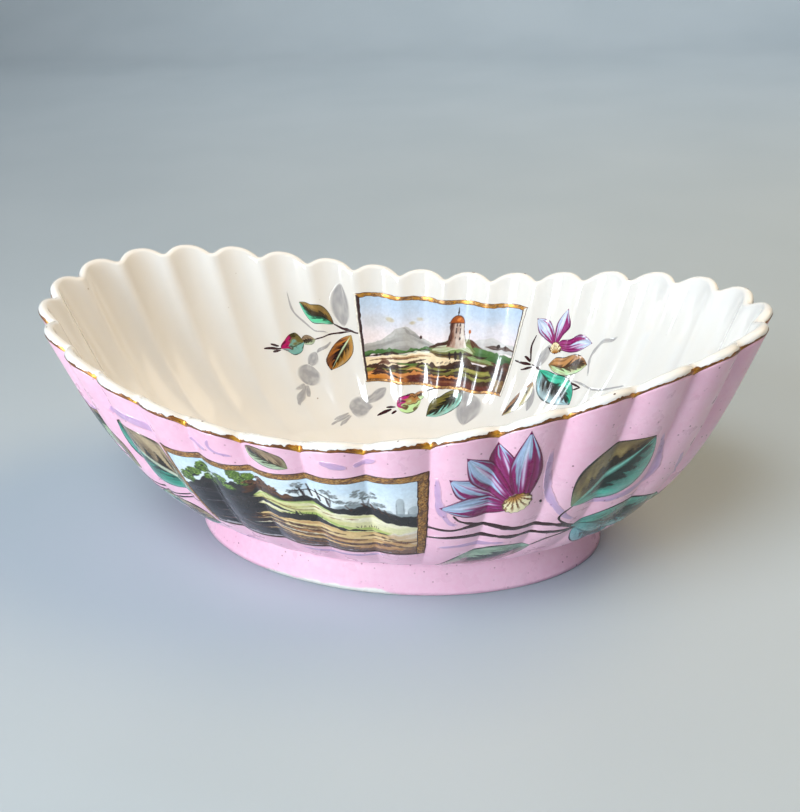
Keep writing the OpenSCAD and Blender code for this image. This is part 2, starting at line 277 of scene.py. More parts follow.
def make_studio():
    """Daylight from a tall window at the left, and the room's warmer light from the right."""
    scene = bpy.context.scene
    scene.view_settings.view_transform = "Standard"
    scene.world = bpy.data.worlds.new("studio")
    scene.world.use_nodes = True
    background = scene.world.node_tree.nodes["Background"]
    background.inputs["Color"].default_value = (0.88, 0.93, 1.0, 1)
    background.inputs["Strength"].default_value = 0.20
    daylight, warm = (0.86, 0.94, 1.0), (1.0, 0.66, 0.25)
    # Name, azimuth and elevation in degrees, distance and size in metres, watts, and colour
    softbox("window", -122, 20, 1.3, (0.5, 0.95), 16.2, daylight)
    softbox("window_glint", -118, 18, 1.3, (0.26, 1.1), 38.0, daylight, glint=True)
    softbox("side_glint", -136, 20, 1.3, (0.12, 0.98), 8.0, daylight, glint=True)
    softbox("skylight", -105, 64, 1.2, (0.6, 0.4), 8.6, (0.96, 0.98, 1.0))
    softbox("lamp", 20, 58, 1.1, (0.6, 0.5), 6.4, warm)
    softbox("room_glint", 16, 36, 1.2, (1.0, 0.7), 2.6, (1.0, 0.84, 0.62), glint=True)
    softbox("backdrop_light", -90, 50, 1.4, (2.4, 0.4), 18.0, (1.0, 0.99, 0.96), aim=(0, 1.9, 0.2))


def make_floor():
    """A plain pale floor that curves up into a backdrop far behind the bowl."""
    depth, half_width, reach, bend, height = 3.5, 3.5, 1.5, 0.5, 1.4
    outline = [(-depth, 0.0)]
    outline += [(reach + bend * math.sin(a), bend - bend * math.cos(a))
                for a in np.linspace(0, math.pi / 2, 17)]
    outline.append((reach + bend, height))
    points = [(side * half_width, y, z) for y, z in outline for side in (-1, 1)]
    faces = [(2 * i, 2 * i + 1, 2 * i + 3, 2 * i + 2) for i in range(len(outline) - 1)]
    floor = new_object("floor", points, faces, floor_material())


# ---------------------------------------------------------------- mesh helpers

def new_object(name, points, faces, material, paint=None):
    """A smooth mesh; paint is each point's colour and how metallic it is, or all white if not given."""
    mesh = bpy.data.meshes.new(name)
    mesh.from_pydata(np.asarray(points).tolist(), [], np.asarray(faces, object).tolist())
    mesh.polygons.foreach_set("use_smooth", [True] * len(mesh.polygons))
    colours = mesh.color_attributes.new("paint", "FLOAT_COLOR", "POINT")
    if paint is None:
        paint = np.ones((len(points), 4))
    colours.data.foreach_set("color", np.asarray(paint, np.float32).ravel())
    mesh.materials.append(material)
    piece = bpy.data.objects.new(name, mesh)
    bpy.context.scene.collection.objects.link(piece)
    return piece


def finish_piece(piece, node):
    """Put a piece on the one body, and hide the CAD node that it stands for."""
    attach(piece, "root")
    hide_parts(node)


def grid_faces(rows, columns, wrap_rows=False, wrap_columns=False):
    """Faces of a grid of points that is numbered row by row."""
    r, c = np.meshgrid(np.arange(rows if wrap_rows else rows - 1),
                       np.arange(columns if wrap_columns else columns - 1), indexing="ij")
    r, c = r.ravel(), c.ravel()
    r2, c2 = (r + 1) % rows, (c + 1) % columns
    return np.stack([r * columns + c, r * columns + c2, r2 * columns + c2, r2 * columns + c], -1)


def grid_borders(rows, columns, wrap_columns):
    """The point numbers round a grid's open edges."""
    index = np.arange(rows * columns).reshape(rows, columns)
    if wrap_columns:
        return [index[0], index[-1, ::-1]]
    return [np.concatenate([index[0, :-1], index[:-1, -1], index[-1, :0:-1], index[:0:-1, 0]])]


def loft(name, rings, material, closed=False, caps=()):
    """A surface through rings of points that go all round the bowl."""
    rings = [np.asarray(ring) for ring in rings]
    columns = len(rings[0])
    points = np.concatenate(rings)
    faces = grid_faces(len(rings), columns, wrap_rows=closed, wrap_columns=True).tolist()
    if caps:
        first, last = len(points), len(points) + 1
        points = np.concatenate([points, np.asarray(caps, float)])
        top = (len(rings) - 1) * columns
        faces += [(first, (c + 1) % columns, c) for c in range(columns)]
        faces += [(last, top + c, top + (c + 1) % columns) for c in range(columns)]
    return new_object(name, points, faces, material)


# ---------------------------------------------------------------- the ware

FLUTE_COLUMNS, NOTCH_CROWDING = 24, 0.7
# Where the rings of points lie: up the seen and the hidden walls, over the lip, and across the two floors
LEVELS = np.linspace(0, 1, 61) ** 1.2
HIDDEN_LEVELS = np.linspace(0, 1, 17)
LIP_ANGLES = np.linspace(0, 180, 15)[1:-1]
UNDERSIDE_SHARES, FLOOR_SHARES = np.linspace(0.1, 1, 12), np.linspace(1, 0.05, 20)[1:]
# Where the foot ring's inner face meets the underside, as a share of the waist
RING_TOP = 0.93
# The pink ground's thickness, the levels between which it covers the wall, and how far it goes up the foot
GROUND = 0.10 * MM
GROUND_BOTTOM, GROUND_TOP, GROUND_FOOT = 0.004, 0.9975, 0.97


def ring_turns():
    """Turns of the ware's columns, closer together in the notches than on the lobes."""
    part = np.arange(FLUTE_COLUMNS) / FLUTE_COLUMNS
    part = part - NOTCH_CROWDING * np.sin(2 * math.pi * part) / (2 * math.pi)
    return FLUTE_TURN + (np.arange(FLUTES)[:, None] + part).ravel() * 360 / FLUTES


TURNS = ring_turns()


def make_body():
    """The white bowl as one closed skin: underside, outer wall, lip, inner wall and floor."""
    rings = [underside(TURNS, share) for share in UNDERSIDE_SHARES]
    rings += [skin(TURNS, level, 0.0) for level in HIDDEN_LEVELS[1:]]
    rings += [lip(TURNS, angle, 0.0) for angle in LIP_ANGLES]
    rings += [skin(TURNS, level, -WALL) for level in LEVELS[::-1]]
    rings += [floor_point(TURNS, share) for share in FLOOR_SHARES]
    middle = UNDERSIDE_HEIGHT + FLOOR_THICKNESS
    body = loft("white_bowl", rings, WHITE, caps=[(0, 0, UNDERSIDE_HEIGHT), (0, 0, middle)])
    finish_piece(body, "bowl_body")


def make_foot():
    """The white foot ring with its rounded base edges."""
    inner = RING_THICKNESS + FOOT_EDGE
    rings = [underside(TURNS, RING_TOP), foot_point(TURNS, inner, FOOT_HEIGHT * 0.6),
             foot_point(TURNS, inner, FOOT_HEIGHT * 0.3), foot_point(TURNS, inner, FOOT_EDGE)]
    for a in np.radians([30, 60, 90]):
        rings.append(foot_point(TURNS, inner - FOOT_EDGE * (1 - math.cos(a)),
                                FOOT_EDGE * (1 - math.sin(a))))
    for a in np.radians([0, 30, 60]):
        rings.append(foot_point(TURNS, FOOT_EDGE * (1 - math.sin(a)), FOOT_EDGE * (1 - math.cos(a))))
    rings += [foot_side(TURNS, rise) for rise in np.linspace(FOOT_EDGE / FOOT_HEIGHT, 1, 8)]
    finish_piece(loft("white_foot", rings, WHITE, closed=True), "foot_ring")


def make_ground():
    """The pink ground, a thin closed skin over the foot's side and the outer wall."""
    rises = np.linspace(PAINT_EDGE / FOOT_HEIGHT, GROUND_FOOT, 10)
    levels = np.concatenate([[GROUND_BOTTOM], LEVELS[1:-1], [GROUND_TOP]])
    rings = [foot_side(TURNS, rise, GROUND) for rise in rises]
    rings += [skin(TURNS, level, GROUND) for level in levels]
    rings += [skin(TURNS, level, 0.0) for level in [GROUND_TOP, *HIDDEN_LEVELS[-2:0:-1], GROUND_BOTTOM]]
    rings += [foot_side(TURNS, rise, 0.0) for rise in rises[::-3]]
    finish_piece(loft("pink_enamel", rings, PINK, closed=True), "pink_ground")


# ---------------------------------------------------------------- colours and brushwork

def cloud(x, y, seed, octaves=2):
    """Smooth noise from about -1 to 1, one bump to a unit, the same on every run."""
    size, total, weight = 64, 0.0, 0.0
    for octave in range(octaves):
        lattice = np.random.default_rng([seed, octave]).uniform(-1, 1, (size, size))
        px, py = x * 2 ** octave, y * 2 ** octave
        ix, iy = np.floor(px).astype(int), np.floor(py).astype(int)
        u, v = px - ix, py - iy
        u, v = u * u * (3 - 2 * u), v * v * (3 - 2 * v)
        low = lattice[ix % size, iy % size] * (1 - u) + lattice[(ix + 1) % size, iy % size] * u
        high = (lattice[ix % size, (iy + 1) % size] * (1 - u)
                + lattice[(ix + 1) % size, (iy + 1) % size] * u)
        total = total + (low * (1 - v) + high * v) / 2 ** octave
        weight += 1 / 2 ** octave
    return total / weight * 1.6


def blend(first, second, share):
    """A mix of two colours or pictures: share 0 is the first and share 1 is the second."""
    share = np.clip(np.asarray(share, float), 0, 1)[..., None]
    return np.asarray(first, float) * (1 - share) + np.asarray(second, float) * share


def step_up(value, start, end):
    """0 below start, 1 above end, and a smooth rise between."""
    u = np.clip((value - start) / (end - start), 0, 1)
    return u * u * (3 - 2 * u)


def linear(colour):
    """Screen colours from 0 to 255 as the shader's linear colours."""
    c = np.clip(np.asarray(colour, float) / 255, 0, 1)
    return np.where(c < 0.04045, c / 12.92, ((c + 0.055) / 1.055) ** 2.4)


def smooth_line(points, pieces=8):
    """A smooth line through the points, by Catmull and Rom's rule."""
    p = np.asarray(points, float)
    if len(p) == 2:
        return p[0] + (p[1] - p[0]) * np.linspace(0, 1, pieces + 1)[:, None]
    p = np.concatenate([[2 * p[0] - p[1]], p, [2 * p[-1] - p[-2]]])
    line = []
    for i in range(1, len(p) - 2):
        t = (np.arange(pieces) / pieces)[:, None]
        a, b, c, d = p[i - 1:i + 3]
        line.append(b + 0.5 * t * (c - a + t * (2 * a - 5 * b + 4 * c - d + t * (3 * b - a - 3 * c + d))))
    return np.concatenate([*line, p[-2:-1]])


def near_line(x, y, line):
    """Each point's distance from a line, and how far along the line it is, from 0 to 1."""
    start, step = line[:-1], np.diff(line, axis=0)
    length = np.maximum(np.hypot(step[:, 0], step[:, 1]), 1e-9)
    run = np.concatenate([[0], np.cumsum(length)])
    dx, dy = x[..., None] - start[:, 0], y[..., None] - start[:, 1]
    t = np.clip((dx * step[:, 0] + dy * step[:, 1]) / length ** 2, 0, 1)
    gap = np.hypot(dx - t * step[:, 0], dy - t * step[:, 1])
    best = gap.argmin(-1)[..., None]
    along = (run[:-1] + t * length) / run[-1]
    return np.take_along_axis(gap, best, -1)[..., 0], np.take_along_axis(along, best, -1)[..., 0]


class Picture:
    """A painting on a grid: s runs across and v up, from 0 to 1.

    Widths and sizes are shares of the height, and the later strokes cover the earlier ones.
    """

    def __init__(self, aspect, columns, rows, seed):
        self.aspect, self.cell = aspect, 1 / (rows - 1)
        self.s, self.v = np.meshgrid(np.linspace(0, 1, columns), np.linspace(0, 1, rows))
        self.x = self.s * aspect
        self.colour = np.zeros((rows, columns, 3))
        self.hand = np.random.default_rng(seed)

    def seed(self):
        return int(self.hand.integers(1_000_000))

    def window(self, low, high):
        """The part of the grid between two corners."""
        rows, columns = self.x.shape
        c0 = int(np.clip(math.floor(low[0] / self.aspect * (columns - 1)) - 1, 0, columns - 1))
        c1 = int(np.clip(math.ceil(high[0] / self.aspect * (columns - 1)) + 2, c0 + 1, columns))
        r0 = int(np.clip(math.floor(low[1] / self.cell) - 1, 0, rows - 1))
        r1 = int(np.clip(math.ceil(high[1] / self.cell) + 2, r0 + 1, rows))
        return slice(r0, r1), slice(c0, c1)

    def lay(self, area, colour, cover):
        self.colour[area] = blend(self.colour[area], colour, cover)

    def wash(self, low, high, bottom, top):
        self.colour = blend(low, high, step_up(self.v, bottom, top))

    def mist(self, s, v, long, wide, colour, strength):
        """A soft patch with no edge."""
        gap = np.hypot((self.x - s * self.aspect) / long, (self.v - v) / wide)
        fray = 0.35 * cloud(self.x * 9, self.v * 14, self.seed())
        self.lay(..., colour, strength * (1 - step_up(gap + fray, 0.2, 1)))

    def stroke(self, points, width, colour, strength=1.0, taper=0.75, ragged=0.35):
        """One stroke of the brush, thinner at its ends and streaked along its length."""
        line = smooth_line(points) * (self.aspect, 1)
        area = self.window(line.min(0) - width, line.max(0) + width)
        x, y = self.x[area], self.v[area]
        gap, along = near_line(x, y, line)
        half = width / 2 * (1 - taper * np.abs(2 * along - 1) ** 2.5)
        seed = self.seed()
        run = along * np.hypot(*np.diff(line, axis=0).T).sum() / width
        half = half * (1 + ragged * cloud(run * 0.6, y * 0, seed))
        bristles = 0.86 + 0.3 * cloud(run * 0.35, gap / width * 6, seed + 1)
        self.lay(area, colour, np.clip((half - gap) / self.cell + 0.5, 0, 1) * strength * bristles)

    def strokes(self, rows, strength, ragged=0.5):
        """Strokes from rows of points, width and colour."""
        for points, width, colour in rows:
            self.stroke(points, width, colour, strength, ragged=ragged)

    def dab(self, s, v, long, wide, angle, colour, strength=1.0):
        """One touch of the brush, an ellipse with a soft edge."""
        reach = max(long, wide)
        middle = np.array([s * self.aspect, v])
        area = self.window(middle - reach, middle + reach)
        dx, dy = self.x[area] - middle[0], self.v[area] - middle[1]
        c, k = math.cos(angle), math.sin(angle)
        gap = np.hypot((dx * c + dy * k) / long, (dy * c - dx * k) / wide)
        self.lay(area, colour, np.clip((1 - gap) * min(long, wide) / self.cell + 0.3, 0, 1) * strength)

    def shape(self, outline, colour, shade=None, strength=1.0):
        """A filled outline; shade is a second colour that it turns to on its right."""
        line = np.asarray([*outline, outline[0]], float) * (self.aspect, 1)
        area = self.window(line.min(0), line.max(0))
        x, y = self.x[area], self.v[area]
        a, b = line[:-1], line[1:]
        rise = np.where(b[:, 1] == a[:, 1], 1e-9, b[:, 1] - a[:, 1])
        crossing = (y[..., None] - a[:, 1]) / rise
        right = a[:, 0] + crossing * (b[:, 0] - a[:, 0]) > x[..., None]
        between = (a[:, 1] > y[..., None]) != (b[:, 1] > y[..., None])
        inside = (between & right).sum(-1) % 2 == 1
        gap = near_line(x, y, line)[0]
        cover = np.clip(np.where(inside, gap, -gap) / self.cell + 0.5, 0, 1)
        if shade is not None:
            low, high = line[:, 0].min(), line[:, 0].max()
            colour = blend(colour, shade, (x - low) / (high - low) + 0.2 * cloud(x * 30, y * 12, self.seed()))
        self.lay(area, colour, cover * strength)

    def land(self, crest, base, light, dark, ragged=0.012, grain=26, slope=0.5):
        """Ground between a crest and a base line, brushed along the crest in two colours."""
        s0, s1 = crest[0][0], crest[-1][0]
        seed = self.seed()
        top, low = (smooth_line(line) for line in (crest, base))
        top = np.interp(self.s, top[:, 0], top[:, 1]) + ragged * cloud(self.x * 17, self.v * 0, seed)
        low = np.interp(self.s, low[:, 0], low[:, 1]) + ragged * cloud(self.x * 13, self.v * 0, seed + 1)
        inside = (self.s >= s0) & (self.s <= s1)
        cover = np.clip(np.minimum(top - self.v, self.v - low) / self.cell + 0.5, 0, 1) * inside
        fray = 0.03 * cloud(self.x * 3, self.v * 40, seed + 3)
        for reach, open_end in ((self.s - s0, s0 > 0), (s1 - self.s, s1 < 1)):
            if open_end:
                cover = cover * step_up(reach * self.aspect + fray, 0.0, 0.06)
        depth = (top - self.v) / np.maximum(top - low, 0.02)
        streaks = cloud(self.x * 2.6, (self.v - 0.6 * top) * grain, seed + 2, octaves=3)
        self.lay(..., blend(light, dark, slope * depth * 1.4 + (1 - slope) * 0.3 + 0.55 * streaks), cover)

    def foliage(self, clumps, colours, count, size):
        """Clumps of leaves (place, half width, half height), dabbed from the darkest colour up."""
        for layer, colour in enumerate(colours):
            for s, v, wide, high in clumps:
                for _ in range(count):
                    angle, reach = self.hand.uniform(0, 2 * math.pi), self.hand.uniform(0, 1) ** 0.55
                    lift = 0.35 * high * layer / len(colours)
                    tone = np.asarray(colour) * self.hand.uniform(0.75, 1.2)
                    long = size * self.hand.uniform(0.5, 1.2) * (1 - 0.22 * layer)
                    self.dab(s + reach * wide * math.cos(angle) / self.aspect,
                             v + reach * high * math.sin(angle) + lift,
                             long, long * self.hand.uniform(0.35, 0.6), self.hand.uniform(-0.6, 0.9),
                             tone, 0.9)

    def tufts(self, s0, v0, s1, v1, count, height, colour):
        """A row of short upright strokes, like grass."""
        for i in range(count):
            u = (i + self.hand.uniform(0, 0.8)) / count
            s, v = s0 + (s1 - s0) * u, v0 + (v1 - v0) * u
            lean = self.hand.uniform(-0.35, 0.35) * height
            top = height * self.hand.uniform(0.6, 1.2)
            self.stroke([(s, v), (s + lean / self.aspect, v + top)], height * 0.2, colour, 0.95)


INK = (40, 27, 30)
UMBER = (70, 42, 32)
CREAM = (244, 236, 206)
STRAW = (212, 208, 134)
MEADOW = (160, 186, 84)
LEAF_DARK, LEAF_GREEN, LEAF_LIGHT = (34, 40, 26), (80, 108, 42), (136, 164, 76)
CHARCOAL, SOOT = (50, 45, 46), (26, 25, 29)
FAR_GREY, MIST_GREY = (126, 134, 138), (172, 184, 190)


def paint_lane(p):
    """A wooded hill with a fence, and sunlit banks above a sandy track."""
    p.wash((240, 243, 243), (208, 228, 244), 0.42, 1.0)
    p.mist(0.45, 0.93, 0.34, 0.10, (226, 238, 244), 0.8)
    p.mist(0.16, 0.97, 0.25, 0.09, (186, 218, 242), 0.8)
    p.mist(0.80, 0.90, 0.40, 0.12, (196, 214, 228), 0.6)
    p.mist(0.62, 0.74, 0.40, 0.14, (236, 242, 242), 0.8)

    for s, top, half in ((0.908, 0.775, 0.034), (0.955, 0.665, 0.05), (0.865, 0.63, 0.04)):
        arch = [(s + half * math.cos(a) / p.aspect, top - 0.05 + 0.05 * math.sin(a))
                for a in np.linspace(0, math.pi, 9)]
        p.shape([(s + half / p.aspect, 0.5), *arch, (s - half / p.aspect, 0.5)], (182, 192, 196),
                (160, 170, 176), 0.75)
        for edge in (-0.9, 0.9):
            side = s + edge * half / p.aspect
            p.stroke([(side, 0.52), (side, top - 0.05)], 0.012, (134, 142, 148), 0.7)
    p.land([(0.66, 0.66), (0.76, 0.69), (0.88, 0.60), (1.0, 0.575)], [(0.66, 0.50), (1.0, 0.45)], MIST_GREY,
           FAR_GREY, slope=0.7)
    for trunk in ([(0.775, 0.64), (0.768, 0.76)], [(0.782, 0.64), (0.797, 0.76)],
                  [(0.655, 0.66), (0.66, 0.80)], [(0.553, 0.72), (0.560, 0.82)],
                  [(0.540, 0.74), (0.532, 0.84)]):
        p.stroke(trunk, 0.014, (104, 106, 108), 0.9)
    p.foliage([(0.757, 0.80, 0.055, 0.045), (0.797, 0.765, 0.07, 0.045), (0.735, 0.70, 0.06, 0.03),
               (0.83, 0.68, 0.07, 0.02)],
              [(124, 132, 134), (150, 158, 160)], 16, 0.022)
    p.foliage([(0.648, 0.83, 0.05, 0.03), (0.672, 0.79, 0.04, 0.02), (0.69, 0.72, 0.05, 0.018),
               (0.545, 0.87, 0.055, 0.028), (0.525, 0.80, 0.05, 0.025)],
              [(96, 102, 104), (136, 142, 144)], 15, 0.02)

    hill = [(0.0, 0.52), (0.06, 0.62), (0.16, 0.72), (0.28, 0.77), (0.36, 0.82), (0.415, 0.865),
            (0.45, 0.79), (0.50, 0.745), (0.58, 0.725), (0.64, 0.665), (0.70, 0.64), (0.80, 0.63),
            (0.90, 0.56), (1.0, 0.50)]
    p.land(hill, [(0.0, -0.2), (0.30, 0.0), (0.50, 0.25), (0.75, 0.35), (1.0, 0.36)], CHARCOAL, SOOT,
           ragged=0.02, grain=18, slope=0.2)
    p.land([(0.30, 0.765), (0.36, 0.80), (0.415, 0.86), (0.46, 0.77), (0.52, 0.73)],
           [(0.30, 0.66), (0.40, 0.72), (0.52, 0.66)], (116, 78, 50), (60, 36, 30), ragged=0.03)
    p.foliage([(0.055, 0.68, 0.06, 0.07), (0.10, 0.76, 0.06, 0.05), (0.15, 0.83, 0.06, 0.07),
               (0.17, 0.70, 0.08, 0.06), (0.225, 0.78, 0.07, 0.05), (0.25, 0.70, 0.06, 0.03),
               (0.30, 0.885, 0.06, 0.06), (0.325, 0.80, 0.07, 0.05), (0.35, 0.87, 0.05, 0.03)],
              [LEAF_DARK, LEAF_GREEN, LEAF_GREEN, LEAF_LIGHT, (172, 204, 104)], 30, 0.030)
    p.foliage([(0.36, 0.79, 0.09, 0.03), (0.40, 0.86, 0.05, 0.035), (0.44, 0.80, 0.05, 0.03)],
              [(58, 34, 30), (98, 62, 44), (134, 92, 62)], 16, 0.022)

    bank = [(0.325, 0.60), (0.36, 0.68), (0.40, 0.705), (0.47, 0.665), (0.56, 0.665), (0.67, 0.575),
            (0.80, 0.53), (0.90, 0.44), (1.0, 0.38)]
    p.land(bank, [(0.325, 0.595), (0.40, 0.61), (0.47, 0.56), (0.56, 0.48), (0.67, 0.36), (0.80, 0.28),
                  (0.92, 0.22), (1.0, 0.18)], CREAM, STRAW, ragged=0.008, grain=30, slope=0.75)
    p.stroke([(0.34, 0.635), (0.40, 0.70), (0.47, 0.662), (0.56, 0.655), (0.66, 0.575)], 0.035, MEADOW,
             0.75)
    p.stroke([(0.36, 0.61), (0.43, 0.63), (0.50, 0.57), (0.58, 0.545)], 0.02, (116, 92, 50), 0.8)
    p.land([(0.33, 0.53), (0.38, 0.565), (0.45, 0.54), (0.52, 0.50), (0.60, 0.45), (0.70, 0.40),
            (0.80, 0.37)],
           [(0.33, 0.525), (0.38, 0.52), (0.45, 0.485), (0.52, 0.455), (0.60, 0.42), (0.70, 0.375),
            (0.80, 0.365)], CREAM, STRAW, ragged=0.006)
    p.land([(0.80, 0.61), (0.87, 0.575), (0.93, 0.50), (1.0, 0.47)],
           [(0.80, 0.52), (0.90, 0.45), (1.0, 0.375)], (44, 40, 38), (28, 26, 28), ragged=0.02)
    p.stroke([(0.70, 0.60), (0.78, 0.615), (0.86, 0.585), (0.94, 0.50)], 0.03, (34, 30, 32), 0.95)
    p.land([(0.42, 0.50), (0.50, 0.505), (0.58, 0.47), (0.66, 0.39), (0.76, 0.345), (0.86, 0.31),
            (0.95, 0.27)],
           [(0.42, 0.45), (0.50, 0.44), (0.58, 0.40), (0.66, 0.355), (0.76, 0.325), (0.86, 0.295),
            (0.95, 0.262)],
           (44, 44, 34), INK, ragged=0.012)
    p.stroke([(0.46, 0.515), (0.54, 0.515), (0.60, 0.475), (0.68, 0.40), (0.80, 0.345), (0.92, 0.28)], 0.03,
             MEADOW, 0.8)

    track = [(0.24, 0.34), (0.34, 0.40), (0.46, 0.42), (0.60, 0.385), (0.70, 0.335), (0.85, 0.30),
             (1.0, 0.26)]
    p.land(track, [(0.24, 0.30), (0.40, 0.12), (0.60, 0.0), (1.0, -0.05)], (228, 194, 134), (176, 120, 70),
           ragged=0.01, grain=22, slope=0.5)
    p.land([(0.85, 0.32), (0.93, 0.33), (1.0, 0.36)], [(0.85, 0.27), (0.93, 0.20), (1.0, 0.12)],
           (234, 224, 208), (206, 168, 124), slope=0.7)
    p.land([(0.0, 0.30), (0.20, 0.24), (0.34, 0.18), (0.50, 0.12), (0.70, 0.07), (1.0, 0.08)],
           [(0.0, -0.1), (1.0, -0.1)], (124, 84, 58), (60, 42, 40), grain=20, slope=0.3)
    p.land([(0.0, 0.56), (0.12, 0.54), (0.24, 0.46), (0.32, 0.36), (0.40, 0.22)],
           [(0.0, -0.1), (0.40, -0.1)], (66, 62, 68), SOOT, grain=16, slope=0.25)
    ruts = (([(0.06, 0.52), (0.20, 0.50), (0.34, 0.36), (0.48, 0.24)], 0.05, (40, 34, 36)),
            ([(0.10, 0.36), (0.24, 0.33), (0.38, 0.21), (0.54, 0.12)], 0.05, (46, 36, 38)),
            ([(0.16, 0.20), (0.30, 0.17), (0.44, 0.09), (0.60, 0.04)], 0.05, (60, 46, 50)),
            ([(0.24, 0.335), (0.36, 0.37), (0.48, 0.35), (0.58, 0.30), (0.68, 0.28)], 0.032, UMBER),
            ([(0.26, 0.30), (0.38, 0.33), (0.52, 0.29), (0.62, 0.225), (0.76, 0.20)], 0.045, (86, 54, 42)),
            ([(0.22, 0.24), (0.36, 0.27), (0.50, 0.22), (0.60, 0.16), (0.74, 0.13), (0.86, 0.12)], 0.04,
             UMBER),
            ([(0.20, 0.17), (0.34, 0.20), (0.48, 0.15), (0.60, 0.10), (0.72, 0.08)], 0.035, (70, 56, 60)),
            ([(0.74, 0.26), (0.84, 0.25), (0.92, 0.20), (0.98, 0.20)], 0.022, UMBER),
            ([(0.78, 0.21), (0.86, 0.215), (0.94, 0.17)], 0.020, (96, 60, 44)),
            ([(0.76, 0.13), (0.86, 0.15), (0.94, 0.11), (1.0, 0.12)], 0.040, (74, 48, 44)),
            ([(0.62, 0.06), (0.76, 0.045), (0.90, 0.05), (1.0, 0.04)], 0.030, (110, 72, 54)))
    p.strokes(ruts, 0.9)
    lights = (([(0.26, 0.235), (0.38, 0.265), (0.50, 0.235), (0.62, 0.17)], 0.018, CREAM),
              ([(0.30, 0.315), (0.42, 0.33), (0.54, 0.285), (0.66, 0.245)], 0.022, (250, 226, 168)),
              ([(0.66, 0.18), (0.76, 0.165), (0.86, 0.17)], 0.018, (238, 196, 130)),
              ([(0.30, 0.165), (0.42, 0.18), (0.52, 0.13)], 0.014, (232, 190, 130)),
              ([(0.34, 0.365), (0.44, 0.385), (0.54, 0.35), (0.64, 0.31)], 0.020, (248, 222, 160)),
              ([(0.40, 0.20), (0.50, 0.175), (0.60, 0.12), (0.72, 0.10)], 0.016, (244, 206, 140)),
              ([(0.70, 0.235), (0.80, 0.225), (0.90, 0.225)], 0.020, (250, 220, 166)),
              ([(0.05, 0.36), (0.16, 0.38), (0.24, 0.34)], 0.014, (104, 98, 104)),
              ([(0.08, 0.24), (0.20, 0.24), (0.30, 0.16)], 0.014, (120, 104, 104)),
              ([(0.05, 0.12), (0.18, 0.12), (0.30, 0.05)], 0.016, (140, 110, 104)))
    p.strokes(lights, 0.85)
    p.land([(0.0, 0.05), (0.3, 0.04), (0.6, 0.025), (1.0, 0.01)], [(0.0, -0.1), (1.0, -0.1)],
           (176, 170, 176), (104, 92, 100), grain=30, slope=0.3)

    p.stroke([(0.50, 0.80), (0.56, 0.815), (0.62, 0.79), (0.67, 0.73)], 0.014, INK, 0.95, taper=0.3)
    for foot, head in (((0.556, 0.745), (0.548, 0.835)), ((0.583, 0.735), (0.574, 0.88)),
                       ((0.617, 0.71), (0.607, 0.835)), ((0.650, 0.655), (0.643, 0.765))):
        p.stroke([foot, head], 0.020, INK, 1.0, taper=0.2)
    for s, v in ((0.71, 0.635), (0.765, 0.645), (0.795, 0.62), (0.825, 0.60), (0.85, 0.58)):
        p.stroke([(s + 0.018, v - 0.02), (s, v + 0.045)], 0.018, UMBER, 0.95, taper=0.3)
    p.tufts(0.47, 0.46, 0.53, 0.47, 7, 0.07, (28, 26, 24))
    p.tufts(0.73, 0.385, 0.82, 0.36, 10, 0.03, INK)
    p.tufts(0.53, 0.49, 0.60, 0.455, 6, 0.035, (60, 70, 40))
    for s, v in ((0.63, 0.545), (0.66, 0.50), (0.72, 0.50), (0.585, 0.585), (0.49, 0.60)):
        p.stroke([(s - 0.025, v + 0.01), (s + 0.025, v - 0.008)], 0.012, (140, 96, 60), 0.8)


